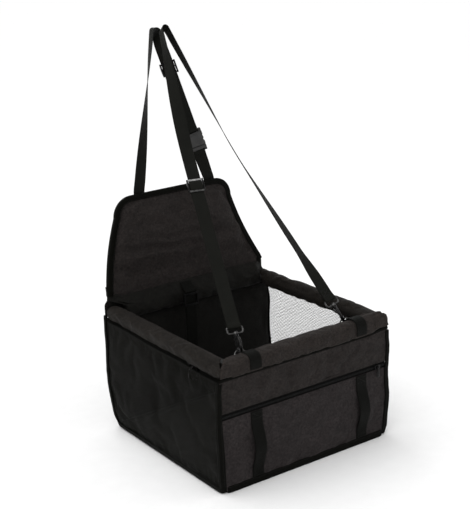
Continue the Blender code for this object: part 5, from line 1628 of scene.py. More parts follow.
def make_backrest():
    """The backrest's cushion, creased and full, flat beside its hinge."""
    levels = backrest_levels(4.4 * MM)
    wide = np.array([backrest_half_width(up) for up in levels])[:, None]
    columns = 86
    share = np.linspace(-1, 1, columns)[None, :]
    x = wide * share
    up = np.repeat(levels[:, None], columns, axis=1)
    inset = np.minimum(np.minimum(wide - np.abs(x), BACKREST_HEIGHT - up), up + 10 * MM)
    half = BACKREST_THICK / 2
    foot = 1 - eased(up, 0, 7)
    rise = BACKREST_CROWN * smooth_array((inset - BINDING_WIDTH) / (45 * MM))
    level = joined(x * 0.3, np.zeros(x.shape), up + x * 0.1)
    creases = (1 - 2.4 * np.abs(soft_noise(level, 25 * MM, 23.0))) * 3.4 * MM
    waves = creases * eased(inset, 9, 22)
    front_out = half + rise + waves - foot * half * 0.1
    back_out = -half + foot * half * 0.75
    grid = backrest_point(x, up, front_out)
    outward = np.array(on_backrest(0, 0, 1)) - np.array(on_backrest(0, 0, 0))
    front = drape(
        grid, inset < 11 * MM, outward, shrink=-0.03, pressure=1.4, most=5.5 * MM,
        seed=15.0, frames=26,
    )
    ridges = np.maximum(creases, 0) * 0.6 * eased(inset, 12, 16)
    out = (front - grid) @ outward + front_out + ridges
    room = half + GAP + 16 * MM * eased(up, 22, 60)
    front = front + (ridges - np.maximum(out - room, 0))[..., None] * outward
    flat_back = backrest_point(x, up, back_out)
    inner = eased(inset, 12, 30)
    sunk = 0.8 * MM * soft_noise(flat_back, 40 * MM, 17.0) * inner + 0.9 * MM * inner
    shape = Shape()
    pad_shell(shape, front, flat_back - outward * sunk[..., None], joined(x, up))
    piece = shape.piece("backrest_cushion", LOOKS["oxford"], "backrest", "oxford", "backrest_pad")
    soften(piece)
    make_backrest_tape()
    make_hinge_cloth()


def make_hinge_cloth():
    """The folded cloth that the backrest is sewn to, across its hinge line."""
    reach = BACKREST_FOOT_HALF - 2 * MM
    x = np.linspace(-reach, reach, 90)
    low, high = BACK_RIM_TOP - 5 * MM, 10 * MM
    leaf = ((1 * MM, 3.6 * MM), (high, 2.6 * MM), (high, -2.6 * MM), (3 * MM, -2.6 * MM))
    section = np.array([
        (HALF_D - 7.4 * MM, low),
        (HALF_D - 7.8 * MM, BACK_RIM_TOP - 1 * MM),
        (HALF_D - 7.7 * MM, BACK_RIM_TOP + 2 * MM),
        *[tuple(on_backrest(0, up, out))[1:] for up, out in leaf],
        (HALF_D - 0.9 * MM, BACK_RIM_TOP + 3 * MM),
        (HALF_D - 0.8 * MM, BACK_RIM_TOP),
        (HALF_D - 1.2 * MM, low),
    ])
    rows = joined(x[:, None] - BACKREST_SHIFT, section[None, :, 0], section[None, :, 1])
    rows[..., 1] += soft_noise(rows, 17 * MM, 61.0) * 0.5 * MM
    around = lengths_along(np.vstack([section, section[:1]]))
    uv = joined(around[None, :], x[:, None])
    shape = Shape()
    shape.grid(slump(rows), uv, round_v=True, ends=True)
    for i, face in enumerate(shape.faces):
        middle = sum(shape.points[k][0] for k in face) / len(face) + BACKREST_SHIFT
        shape.looks[i] = int(abs(middle) > reach - BINDING_WIDTH)
    piece = shape.piece("hinge_cloth", [LOOKS["oxford"], LOOKS["binding"]], None, "oxford")
    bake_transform(piece)


def make_backrest_tape():
    """The tape folded over the backrest's edge, from foot to foot."""
    start = -1 * MM
    levels = [start] + [up for up in backrest_levels(9 * MM) if up > start + 4 * MM]
    side = [(backrest_half_width(up), up) for up in levels]
    flat = [(-x, up, 0) for x, up in side] + [(x, up, 0) for x, up in side[::-1]]
    rows = spline(flat, 3 * MM)
    run = lengths_along(rows)
    ahead = np.gradient(rows, axis=0)
    ahead /= np.linalg.norm(ahead, axis=1, keepdims=True)
    out = joined(-ahead[:, 1], ahead[:, 0])
    face = BACKREST_THICK / 2 + GAP
    skin = face + BACKREST_TAPE_THICK
    width = BINDING_WIDTH - 2 * MM
    half = [
        (-width, face), (-width - 0.3 * MM, face + 0.6 * MM),
        (-width + 0.3 * MM, skin - 0.1 * MM), (-width * 0.6, skin + 0.25 * MM),
        (-width * 0.2, skin), (0.6 * MM, skin - 0.4 * MM),
        (1.6 * MM, skin * 0.62), (2 * MM, skin * 0.25),
    ]
    section = [*half, *[(a, -b) for a, b in half[::-1]], (0.3 * MM, -face), (0.3 * MM, face)]
    around = lengths_along(np.array([*section, section[0]]))
    points, uvs = [], []
    for place, (x, up, _), (out_x, out_up) in zip(run, rows, out):
        wave = noise.noise(Vector((place / (24 * MM), 41, 0))) * 0.8 * MM
        puff = noise.noise(Vector((place / (11 * MM), 43, 0))) * 0.35 * MM
        ring = []
        for a, b in section:
            far = smoothstep(-a / width)
            a = a + wave * far
            b = b + math.copysign(puff, b) * (abs(b) > face + 0.5 * MM)
            b *= 1 - 0.26 * (1 - smoothstep(up / (9 * MM)))
            ring.append(backrest_point(x + out_x * a, up + out_up * a, b))
        points.append(ring)
        uvs.append([(s, place) for s in around])
    shape = Shape()
    shape.grid(np.array(points), np.array(uvs), round_v=True, ends=True)
    shape.piece(
        "backrest_tape", LOOKS["binding"], "backrest", "binding", "backrest_binding", angle=60
    )

# Webbing

SEWN_WIDTH = 20 * MM
FOLD_POINTS = 13
BAR_TURN_POINTS = 9
TAB_POINTS = 48
TAB_START = 27


def webbing_section(thick):
    """A flat section with round selvedges, as (across, out) points."""
    half, r = WEBBING / 2, thick / 2
    flat = np.linspace(-half + 1.1 * r, half - 1.1 * r, 9)
    dip = [0.05 * MM * (1 - (u / half) ** 2) for u in flat]
    turns = [math.radians(a) for a in (40, 90, 140)]
    edge = [(half - r + r * math.sin(a), r * math.cos(a)) for a in turns]
    section = [(u, -r + d) for u, d in zip(flat, dip)] + [(u, -n) for u, n in edge]
    return section + [(u, r - d) for u, d in zip(flat[::-1], dip)] + [(-u, n) for u, n in edge]


def webbing(
    name, path, across, body, stands_for=(), look="webbing",
    thick=WEBBING_THICK, pitch=3 * MM, start_at=0.0, wave=0.25, seed=0.0,
):
    """A piece of webbing. across is the direction of its width, for all or for each point."""
    if isinstance(across, Vector):
        across = [across] * len(path)
    rows = spline([(*p, *a) for p, a in zip(path, across)], pitch)
    run = lengths_along(rows[:, :3]) + start_at
    section = webbing_section(thick)
    around = [u for u, _ in section] + [section[0][0]]
    points, uvs = [], []
    for i, row in enumerate(rows):
        ahead = Vector(rows[min(i + 1, len(rows) - 1)][:3]) - Vector(rows[max(i - 1, 0)][:3])
        ahead.normalize()
        side = Vector(row[3:6])
        side = (side - side.dot(ahead) * ahead).normalized()
        out = ahead.cross(side)
        point = Vector(row[:3])
        edge = noise.noise(Vector((run[i] / (9 * MM), seed, 1))) * 0.12 * MM
        ring = []
        for u, n in section:
            cup = wave * MM * noise.noise(Vector((run[i] / (55 * MM), seed, u * 30)))
            wide = u + math.copysign(edge, u) * (abs(u) / WEBBING * 2) ** 4
            ring.append(tuple(point + side * wide + out * (n + cup * 0.5)))
        points.append(ring)
        uvs.append([(u, run[i]) for u in around])
    shape = Shape()
    shape.grid(np.array(points), np.array(uvs), round_v=True, ends=True)
    return shape.piece(name, LOOKS[look], body, "webbing", stands_for)


def split_path(path, across, at):
    """Cuts a path in two at a length along it."""
    done = 0.0
    for i in range(1, len(path)):
        step = (path[i] - path[i - 1]).length
        if done + step >= at:
            share = (at - done) / step
            middle = path[i - 1].lerp(path[i], share)
            side = across[i - 1].lerp(across[i], share)
            first = path[:i] + [middle], across[:i] + [side]
            return first, ([middle] + path[i:], [side] + across[i:])
        done += step
    return (path, across), ([], [])


def twist_along(path, knots, peak, foot_middle):
    """The width direction at each point of a strap, from (length along it, turn) knots."""
    found, done = [], 0.0
    for i, point in enumerate(path):
        if i:
            done += (point - path[i - 1]).length
        found.append(strap_across(peak, foot_middle, between_knots(knots, done)))
    return found


def glided_strap(
    name, stands_for, body, glide_body, path, across, doubled,
    seed, look="webbing",
):
    """A strap whose end runs round its bar and back to its slider.

    doubled is how many of the path's first points make the layer from the slider to the
    bar. The fold round the slider rides on it, and the doubled layer takes up its travel.
    """
    fold_length = length_of(path[:FOLD_POINTS])
    (fold, fold_across), (rest, rest_across) = split_path(path, across, fold_length)
    layer_length = length_of(path[:doubled]) - fold_length - 6 * MM
    (layer, layer_across), (run, run_across) = split_path(rest, rest_across, layer_length)
    webbing(
        name + "_fold", fold, fold_across, glide_body, stands_for, look,
        thick=WEBBING_THICK * 0.78, wave=0.0, pitch=1.6 * MM, seed=seed,
    )
    under = webbing(
        name + "_under", layer, layer_across, body, stands_for, look,
        thick=WEBBING_THICK * 0.96, start_at=fold_length, seed=seed + 2,
    )
    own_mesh(under)
    webbing(
        name, run, run_across, body, stands_for, look,
        start_at=fold_length + layer_length, pitch=2.6 * MM, wave=0.12, seed=seed + 1,
    )


FRONT_COVER = (
    (-1.75, 8.4), (-2.5, 7.6), (-3.3, 5), (-3.6, 1),
    (-3.6, -3), (-3.3, -6.5), (-2.4, -9.0), (-1.8, -9.4),
)


def make_front_strap():
    """One length from the left eye over the peak to the right eye, with its hardware."""
    frames = [front_hook_frame(x) for x in POCKET_BAND_X]
    bars = [f @ Vector((0, 0, EYE_HEIGHT)) for f in frames]
    acrosses, backs, alongs = zip(*([f.to_3x3() @ axis for axis in (X, Y, Z)] for f in frames))
    fronts = [-back for back in backs]
    glide = frames[0].copy()
    glide.translation = bars[0] + fronts[0] * HALF_LAYER + alongs[0] * FRONT_GLIDE_AT
    left = doubled_end(bars[0], alongs[0], fronts[0], glide)
    right = sewn_end(bars[1], alongs[1], fronts[1])[::-1]
    bends = [
        end + along * (leg_bend(x) - bar).length
        for end, along, x, bar in zip((left[-1], right[0]), alongs, POCKET_BAND_X, bars)
    ]
    top = peak_turn(bends[0], FRONT_PEAK, bends[1])
    rise = left + soft_bend(left[-1], bends[0], top[0])
    path = rise + top + soft_bend(top[-1], bends[1], right[0]) + right
    peak_at, total = length_of(rise + top[:5]), length_of(path)
    free_from = length_of(left) + FRONT_GLIDE_AT + GLIDE_TRAVEL
    knots = [
        (free_from, FRONT_LEFT_TURN),
        (peak_at, FRONT_PEAK_TURN),
        *[(peak_at + (total - peak_at) * share, turn) for share, turn in FRONT_MIDDLE_TURNS],
        (total - length_of(right) - 30 * MM, FRONT_RIGHT_TURN),
    ]
    across = twist_along(path, knots, FRONT_PEAK, ring_bar(0))
    across[: len(left)] = [acrosses[0]] * len(left)
    across[-len(right) :] = [-acrosses[1]] * len(right)
    glided_strap(
        "front_webbing", "front_strap", "box", "front_glide", path, across,
        len(left) - BAR_TURN_POINTS, 1.0,
    )
    for side, frame_at, turn in zip(("left", "right"), frames, FRONT_HOOK_TURN):
        make_eye(f"swivel_eye_{side}", f"hook_eye_{side}", "box", frame_at)
        make_hook(f"snap_{side}", f"snap_{side}", frame_at, turn)
    make_glide("front_slider", "front_strap_glide", "front_glide", glide)
    cover = [glide @ Vector((0, y * MM, z * MM)) for y, z in FRONT_COVER]
    webbing(
        "front_webbing_cover", cover, glide.to_3x3() @ X, "front_glide",
        pitch=1.2 * MM, wave=0.0, seed=9.0,
    )
    middle = bars[1] + fronts[1] * (HALF_LAYER + WEBBING_THICK / 2) + alongs[1] * 17 * MM
    axes = acrosses[1], alongs[1], fronts[1]
    sewn_box("front_end_sewing", "box", middle, axes, 13 * MM)


def make_headrest_strap():
    """The long length down to the buckle's socket, and the short one from its plug."""
    at = buckle_frame()
    across_buckle, back, along = (at.to_3x3() @ axis for axis in (X, Y, Z))
    front = -back
    socket_bar = at @ Vector((0, 0, SOCKET_LENGTH - BUCKLE_BAR))
    plug_bar = at @ Vector((0, 0, -PLUG_BASE + BUCKLE_BAR))
    glide = at.copy()
    glide.translation = socket_bar + front * HALF_LAYER + along * HEADREST_GLIDE_AT
    left = headrest_sewn(-1)
    doubled = doubled_end(socket_bar, along, front, glide, BUCKLE_BAR)
    straight = doubled[-1] + along * (HEADREST_GLIDE_AT + GLIDE_TRAVEL)
    right = [straight, *spread_points(straight, doubled[-1], STRAP_PITCH), *doubled[::-1]]
    top = peak_turn(left[-1], HEADREST_PEAK, straight)
    rise = left + spread_points(left[-1], top[0], STRAP_PITCH)
    path = rise + top + spread_points(top[-1], straight, STRAP_PITCH) + right
    knots = [
        (length_of(left), 0.0),
        (length_of(rise + top[:5]), HEADREST_PEAK_TURN),
        (length_of(path) - length_of(right), BUCKLE_TURN),
    ]
    across = twist_along(path, knots, HEADREST_PEAK, headrest_middle())
    across[-len(right) :] = [-across_buckle] * len(right)
    glided_strap(
        "headrest_webbing", "headrest_strap", "backrest", "headrest_glide", path[::-1],
        across[::-1], len(doubled) - BAR_TURN_POINTS, 4.0,
    )
    make_glide("headrest_slider", "headrest_strap_glide", "headrest_glide", glide)
    tail = headrest_sewn(1)
    fold_over = sewn_end(plug_bar, -along, front, BUCKLE_BAR)[::-1]
    path = tail + spread_points(tail[-1], fold_over[0], 12 * MM) + fold_over
    start = length_of(tail)
    end = start + (fold_over[0] - tail[-1]).length
    knots = [(start, math.radians(180)), (end, BUCKLE_TURN)]
    across = twist_along(path, knots, HEADREST_PEAK, headrest_middle())
    across[-len(fold_over) :] = [-across_buckle] * len(fold_over)
    webbing("headrest_tail_webbing", path, across, "backrest", "headrest_strap_tail", seed=8.0)
    make_buckle(at)
    foot = on_backrest(0, 0, 0)
    axes = X, on_backrest(0, 1, 0) - foot, on_backrest(0, 0, -1) - foot
    for i, sign in enumerate((-1, 1)):
        out = HEADREST_SEWN_OUT - WEBBING_THICK / 2
        middle = on_backrest(sign * HEADREST_FOOT_X, BACKREST_HEIGHT - 22 * MM, out)
        sewn_box(f"headrest_sewing_{i}", "backrest", middle, axes, 18 * MM)


def make_tether():
    """The strap in the seat, whose top end is sewn to the rear channel."""
    top = rear_skin(1, GAP + WEBBING_THICK / 2) + X * TETHER_X
    behind_bar = GAP + glide_bar_depth() + GLIDE_BAR + TETHER_CLEARANCE
    hang_y = HALF_D - BACK_RIM_REACH - behind_bar
    bar = Vector((TETHER_X, hang_y + HALF_LAYER, top.z - TETHER_LENGTH))
    glide = axes_matrix(X, Y, Z, Vector((TETHER_X, hang_y, top.z - TETHER_GLIDE_DROP)))
    doubled = doubled_end(bar, Z, -Y, glide)
    free = Vector((TETHER_X, hang_y, top.z - TETHER_SEWN))
    # The tether's sewn end and strap take the darker band webbing as painted shade for the inside
    # of the seat.
    webbing("tether_webbing_sewn", [top, free], X, "box", look="band", wave=0.0, seed=6.5)
    path = ([free] + spread_points(free, doubled[-1], STRAP_PITCH) + doubled[::-1])[::-1]
    glided_strap(
        "tether_webbing", "tether_strap", "tether", "tether_glide", path, [X] * len(path),
        len(doubled) - BAR_TURN_POINTS, 6.0, "band",
    )
    swivel = axes_matrix(X, Y, Z, bar - Z * EYE_HEIGHT)
    make_eye("tether_swivel_eye", "tether_eye", "tether", swivel)
    make_hook("tether", "tether_hook", swivel, 0.0)
    make_glide("tether_slider", "tether_glide", "tether_glide", glide)


def make_pocket_bands():
    """The bowed bands on the pocket, sewn at both ends."""
    top = ZIP_HEIGHT - ZIP_SLOT / 2 - 2 * MM
    foot = FLOOR_Z + BINDING_WIDTH + 1 * MM
    flat_y = -HALF_D - GAP - WEBBING_THICK / 2
    steps = 28
    for i, (name, x) in enumerate(zip(("pocket_band_left", "pocket_band_right"), POCKET_BAND_X)):
        path = [Vector((x, flat_y, top))]
        for k in range(steps + 1):
            share = k / steps
            bow = BAND_BOW * math.sin(math.pi * share) ** 2
            z = top - BAND_SEWN + (foot + BAND_SEWN / 2 - top + BAND_SEWN) * share
            path.append(Vector((x, flat_y - bow, z)))
        path.append(Vector((x, flat_y, foot)))
        webbing(name + "_webbing", path, X, "box", name, "band", seed=20.0 + i)
        near, axes = flat_y - WEBBING_THICK / 2, (X, Z, -Y)
        middle = Vector((x, near, top - BAND_SEWN / 2))
        sewn_box(name + "_sewing_top", "box", middle, axes, 12 * MM)
        middle = Vector((x, near, foot + BAND_SEWN / 4 + 0.5 * MM))
        sewn_box(name + "_sewing_foot", "box", middle, axes, 6 * MM, crossed=False)


def make_ring_tabs():
    """Webbing round the front rim, looped through each ring."""
    lift = GAP + WEBBING_THICK / 2
    half_y, half_z = FRONT_RIM_HALF_WIDTH + lift, RIM_HALF_HEIGHT + lift
    lowered = RIM_HALF_HEIGHT - FRONT_RIM_RISE
    for i, (name, x) in enumerate(zip(("ring_tab_left", "ring_tab_right"), POCKET_BAND_X)):
        centre = Vector((x, FRONT_TUBE_Y, FRAME_Z))
        around = superellipse(half_y, half_z, 2.5, TAB_POINTS, Y, Z, centre)
        for p in around:
            high = smoothstep((p.z - FRAME_Z) / RIM_HALF_HEIGHT)
            p.z -= FRONT_RIM_SINK + lowered * high * (i == 0)
        bar = ring_bar(x)
        radius = RING_WIRE + GAP + WEBBING_THICK / 2
        low = bar.z + 5 * MM
        path = [p for p in around[TAB_START::-1] if p.y <= FRONT_TUBE_Y or p.z >= low]
        path.append(Vector((x, bar.y - radius, bar.z + 2 * MM)))
        for k in range(7):
            a = math.pi + math.pi * k / 6
            path.append(bar + radius * (math.cos(a) * Y + math.sin(a) * Z))
        path.append(bar + radius * Y + 4 * MM * Z)
        webbing(
            name + "_webbing", path, X, "box", name, "band",
            pitch=2 * MM, wave=0.1, seed=30.0 + i,
        )


# Rings, hooks and sliders. Their tables are in millimetres.


def spots_mm(pairs, depth=0.0, flip=1):
    """Points of an upright outline from (x, z) pairs in millimetres."""
    return [Vector((flip * x * MM, depth, z * MM)) for x, z in pairs]


def slab(x, y, z, bevel, segments=2):
    """A block between two places on each axis, in millimetres and either order."""
    low, high = zip(*(sorted(pair) for pair in (x, y, z)))
    return block([c * MM for c in low], [c * MM for c in high], bevel * MM, segments)


def make_rings():
    """The rings of both tabs: a straight bar and an arc that leans with its hook."""
    for side, x in zip(("left", "right"), POCKET_BAND_X):
        bar, towards = ring_bar(x), leg_direction(x)
        rise = (towards - towards.dot(X) * X).normalized()
        path = [X * (RING_HALF_WIDTH * 0.92 * s) for s in np.linspace(-1, 1, 9)]
        for i in range(29):
            a = math.pi * i / 28
            up = 2 * MM + (RING_HEIGHT - 2 * MM) * math.sin(a)
            path.append(RING_HALF_WIDTH * math.cos(a) * X + up * rise)
        smooth = [Vector(p) for p in spline([tuple(p) for p in path], 1.1 * MM, closed=True)]
        ring = wire(smooth, X.cross(rise).normalized(), 0.9 * RING_WIRE, closed=True)
        shape = Shape()
        shape.from_bmesh(ring, Matrix.Translation(bar))
        name, body, stands_for = "rim_ring_" + side, "ring_" + side, "d_ring_" + side
        shape.piece(name, LOOKS["grey"], body, "metal", stands_for, angle=80)


EYE_COLLAR = ((2.4, -2.0), (3.9, -2.0), (4.2, -1.5), (4.2, 1.5), (3.9, 2.0), (2.4, 2.0))


def make_eye(name, stands_for, body, at):
    """A rectangular wire eye on a collar that the hook's swivel turns in."""
    half = WEBBING / 2 + 0.6 * MM + RING_WIRE
    path = []
    for quarter, (sign_x, sign_z) in enumerate(((1, 1), (-1, 1), (-1, -1), (1, -1))):
        corner = EYE_CORNER_TOP if sign_z > 0 else EYE_CORNER_FOOT
        centre_x = sign_x * (half - corner)
        centre_z = EYE_HEIGHT - corner if sign_z > 0 else corner
        for i in range(7):
            a = math.pi / 2 * (quarter + i / 6)
            across, up = corner * math.cos(a), corner * math.sin(a)
            path.append(Vector((centre_x + across, 0, centre_z + up)))
    shape = Shape()
    shape.from_bmesh(wire(path, Y, RING_WIRE, closed=True), at)
    rings = [circle(Z * z * MM, r * MM, X, Y, 28) for r, z in EYE_COLLAR]
    shape.from_bmesh(loft(rings, closed=True), at)
    return shape.piece(name, LOOKS["grey"], body, "metal", stands_for)


HOOK_SHANK = ((0, -4.5), (-2.5, -8), (-7.5, -11.5), (-10.4, -17))
HOOK_SHANK_RADII = (4.2, 3.6, 3.1, 3)
HOOK_TIP = 2.2 * MM
TIP_STEP = 0.5 * MM
HOOK_STEM = (
    (3.6, -6.0), (4.5, -5.2), (4.6, -2.6), (4.3, -2.3), (2.0, -2.3),
    (2.0, 2.4), (3.4, 2.4), (3.7, 3.0), (3.3, 3.9), (2.2, 4.3),
)
HOOK_PIN = (
    (-4.1, 0.9), (-3.9, 1.4), (-3.5, 1.5), (-3.5, 0.9),
    (3.5, 0.9), (3.5, 1.5), (3.9, 1.4), (4.1, 0.9),
)


def hook_path():
    """The middle line of a hook, from its shank round to its tip."""
    points = spots_mm(HOOK_SHANK)
    middle = -HOOK_LENGTH + HOOK_HALF_WIDTH
    for i in range(10):
        a = math.pi + (math.pi + math.radians(8)) * i / 9
        reach, drop = HOOK_HALF_WIDTH * math.cos(a), HOOK_HALF_WIDTH * math.sin(a)
        points.append(Vector((reach, 0, middle + drop)))
    return points


def make_hook(prefix, body, at, turn):
    """The swivel hook with its stem, ears and pin, and the sprung gate."""
    at = at @ Matrix.Rotation(turn, 4, "Z")
    path = hook_path()
    radii = [r * MM for r in HOOK_SHANK_RADII] + [HOOK_WIRE] * (len(path) - 5) + [HOOK_TIP]
    fine = spline([(*p, r) for p, r in zip(path, radii)], 1.2 * MM)
    points = [Vector(row[:3]) for row in fine]
    thick = [float(row[3]) for row in fine]
    ahead = (points[-1] - points[-2]).normalized()
    for share in (0.9, 0.65, 0.3):
        points.append(points[-1] + ahead * TIP_STEP)
        thick.append(HOOK_TIP * share)
    shape = Shape()
    shape.from_bmesh(wire(points, Y, thick), at)
    shape.from_bmesh(turned([(r * MM, z * MM) for r, z in HOOK_STEM]), at)
    pivot_x, pivot_z = GATE_PIVOT
    ear_x, ear_z = (0.2, pivot_x / MM + 1.6), (pivot_z / MM - 1.9, -3.2)
    for sign in (-1, 1):
        shape.from_bmesh(slab(ear_x, (sign * 2.4, sign * 3.6), ear_z, 0.45), at)
    pivot = Matrix.Translation((pivot_x, 0, pivot_z))
    pin = [circle(Vector((pivot_x, y * MM, pivot_z)), r * MM, X, Z, 14) for y, r in HOOK_PIN]
    shape.from_bmesh(loft(pin), at)
    shape.piece(prefix + "_hook_body", LOOKS["metal"], body, "metal", prefix + "_hook")
    tip = (path[-1] - Vector((pivot_x, 0, pivot_z))) / MM
    lever = [
        (-1.9, 0.6), (-1.4, 1.6), (0.4, 2.0), (1.9, 1.0), (3.4, -4.5), (6.2, -6.0), (6.4, -8.0),
        (tip.x + 2, tip.z + 5), (tip.x + 1.6, tip.z + 2.8), (tip.x - 1.8, tip.z + 2.8),
        (0.6, -5.0), (-1.7, -1.2),
    ]
    shape = Shape()
    shape.from_bmesh(plate(spots_mm(lever), 2.0 * MM, 0.5 * MM), at @ pivot)
    gate = prefix + "_gate"
    shape.piece(gate + "_lever", LOOKS["metal"], gate, "metal", gate)


def make_glide(name, stands_for, body, at):
    """A three bar slider with rounded bars and rails."""
    half_x = WEBBING / 2 + GLIDE_SLACK
    half_z = GLIDE_LENGTH / 2
    near = WEBBING_THICK / 2 + GAP
    far = near + 1.8 * MM
    depth = glide_bar_depth()
    bar = GLIDE_BAR + 1.6 * MM
    outline = [
        (-far, -half_z), (-far, half_z), (near, half_z),
        (depth + GLIDE_BAR, bar), (depth + GLIDE_BAR, -bar), (near, -half_z),
    ]
    shape = Shape()
    shape.look = 2
    for sign in (-1, 1):
        middle = X * sign * (half_x + GLIDE_RAIL / 2)
        flat = [middle + Vector((0, y, z)) for y, z in outline]
        shape.from_bmesh(plate(flat, GLIDE_RAIL / 2, 0.8 * MM, X), at)
    inside = half_x + GLIDE_RAIL * 0.6
    for look, low_z in ((1, half_z - GLIDE_FACE_BAR - 0.4 * MM), (0, -half_z + 0.4 * MM)):
        shape.look = look
        low, high = (-inside, -far + 0.1 * MM, low_z), (inside, -near, low_z + GLIDE_FACE_BAR)
        shape.from_bmesh(block(low, high, 0.7 * MM, 3), at)
    sewn = [circle(Vector((x, depth, 0)), GLIDE_BAR, Y, Z, 16) for x in (-inside, inside)]
    shape.from_bmesh(loft(sewn), at)
    # The front slider is one dark part: bright plating on its top face bar is a painted
    # highlight, and grey plating on its lower and sewn bars is a weaker painted highlight.
    looks = ("grey", "highlight", "metal") if name == "front_slider" else ("plastic",) * 3
    return shape.piece(name, [LOOKS[look] for look in looks], body, "plastic", stands_for)


SOCKET_FACE = (
    (-18.2, 0.2), (18.2, 0.2), (19, 1.4), (19, 7.4), (17.4, 9.6), (16.9, 14.5),
    (17.4, 19.6), (19, 21.6), (19, 27.6), (16.6, 30.2), (-16.6, 30.2), (-19, 27.6),
    (-19, 21.6), (-17.4, 19.6), (-16.9, 14.5), (-17.4, 9.6), (-19, 7.4), (-19, 1.4),
)
SOCKET_SIDES = ((-19, -15.4, 0.2, 7.6), (15.4, 19, 0.2, 7.6), (-19, 19, 21.4, 29.6))
BUCKLE_PRONG = (
    (-1.5, -1.0), (0, -1.6), (1.5, -1.0), (1.7, 4), (1.9, 8), (4.6, 10.8), (7.6, 12.4), (8.4, 15),
    (8.0, 18), (7, 20.4), (5.2, 21.6), (3, 22), (-0.4, 22), (-1.2, 18), (-1.4, 14),
)


def make_buckle(at):
    """A side release buckle: a hollow socket, and a plug with two sprung arms."""
    half_y, wall, base = 5.5, 2.1, PLUG_BASE / MM
    shape = Shape()
    for sign in (-1, 1):
        outer = sign * (half_y - wall / 2)
        face = spots_mm(SOCKET_FACE, outer * MM)
        shape.from_bmesh(plate(face, wall / 2 * MM, 0.75 * MM), at)
        for x0, x1, z0, z1 in SOCKET_SIDES:
            shape.from_bmesh(slab((x0, x1), (outer, 0), (z0, z1), 0.5), at)
    shape.from_bmesh(slab((-18.8, 18.8), (-1.4, 1.4), (32, 35.9), 1.1, 3), at)
    for sign in (-1, 1):
        shape.from_bmesh(slab((sign * 14, sign * 19), (-3.2, 3.2), (27, 36), 1.2, 3), at)
    for z in (24.0, 26.0):
        shape.from_bmesh(slab((-9, 9), (-half_y - 0.25, -half_y + 0.6), (z, z + 0.9), 0.2), at)
    shape.piece("buckle_socket_shell", LOOKS["buckle"], "backrest", "plastic", "buckle_socket")
    shape = Shape()
    shape.from_bmesh(slab((-19, 19), (-4, 4), (-8.4, -GAP / MM), 1.3, 3), at)
    for sign in (-1, 1):
        shape.from_bmesh(slab((sign * 14, sign * 19), (-3, 3), (-base, -4), 1.2, 3), at)
    shape.from_bmesh(slab((-18.8, 18.8), (-1.4, 1.4), (-base + 0.2, -9.1), 1.1, 3), at)
    shape.from_bmesh(slab((-3, 3), (-2.6, 2.6), (-3, 23), 0.8), at)
    shape.piece("buckle_plug_base", LOOKS["buckle"], "backrest", "plastic", "buckle_plug")
    for side, sign in SIDES:
        name = "buckle_arm_" + side
        pivot = at @ Matrix.Translation((sign * 11 * MM, 0, -1 * MM))
        shape = Shape()
        shape.from_bmesh(plate(spots_mm(BUCKLE_PRONG, flip=sign), 2.5 * MM, 0.6 * MM), pivot)
        shape.piece(name + "_prong", LOOKS["buckle"], name, "plastic", name)


# Zip

TAPE_SPLIT = 1 * MM
TOOTH_PITCH = 1.5 * MM
TOOTH_SIDES = 6
TOOTH_STEPS = ((-0.1, 0.55), (0.12, 0.95), (0.5, 1.0), (0.85, 1.05), (1.0, 0.6))


def make_zip():
    """The zip's tape, teeth, slider and pull."""
    reach = HALF_W - BINDING_WIDTH * UPRIGHT_BINDING
    behind = -HALF_D + OUTER_CLOTH + GAP
    half_tape = ZIP_TAPE / 2
    shape = Shape()
    for sign in (-1, 1):
        start = (-reach, behind, ZIP_HEIGHT + sign * TAPE_SPLIT)
        up = (0, 0, sign * (half_tape - TAPE_SPLIT))
        grid = flat_grid(start, (2 * reach, 0, 0), up, 150, 8)
        grid[..., 1] += soft_noise(grid, 22 * MM, 50) * 0.15 * MM
        back = grid.copy()
        back[..., 1] += 0.6 * MM
        pad_shell(shape, slump(grid), slump(back), flat_uv(grid, 0, 2))
    shape.piece("zip_tape_halves", LOOKS["tape"], "box", "zip", "zip_tape")
    make_teeth(reach)
    make_zip_slider(HALF_W - BINDING_WIDTH - 1 * MM)


def make_teeth(reach):
    """The joined coil: a row of teeth from above and one from below, half a pitch apart."""
    shape = Shape()
    turns = [2 * math.pi * k / TOOTH_SIDES for k in range(TOOTH_SIDES)]
    ring = [(math.cos(a), math.sin(a)) for a in turns]
    faces = []
    for a in range(0, (len(TOOTH_STEPS) - 1) * TOOTH_SIDES, TOOTH_SIDES):
        for k in range(TOOTH_SIDES):
            after = (k + 1) % TOOTH_SIDES
            faces.append((a + k, a + after, a + TOOTH_SIDES + after, a + TOOTH_SIDES + k))
    last = (len(TOOTH_STEPS) - 1) * TOOTH_SIDES
    faces.append(tuple(range(TOOTH_SIDES))[::-1])
    faces.append(tuple(last + k for k in range(TOOTH_SIDES)))
    for i in range(int(2 * reach / TOOTH_PITCH)):
        for sign, shift in ((1, 0.0), (-1, 0.5)):
            x = -reach + (i + shift + 0.25) * TOOTH_PITCH
            start, end = sign * 2.5 * MM, -sign * 0.7 * MM
            points = []
            for share, width in TOOTH_STEPS:
                z = ZIP_HEIGHT + start + (end - start) * share
                arch = math.sin(math.pi * min(max(share, 0), 1))
                y = -HALF_D + 0.25 * MM - 0.5 * MM * arch
                half_x, half_y, lean = 0.42 * MM * width, 0.55 * MM * width, 0.25 * MM * share
                points += [(x + half_x * c + lean, y + half_y * s, z) for c, s in ring]
            points = slump(np.array(points))
            uvs = [[(points[v][0], points[v][2]) for v in face] for face in faces]
            shape.add(points, faces, uvs)
    shape.piece("zip_teeth", LOOKS["coil"], "box", "zip", "zip_coil", angle=60)


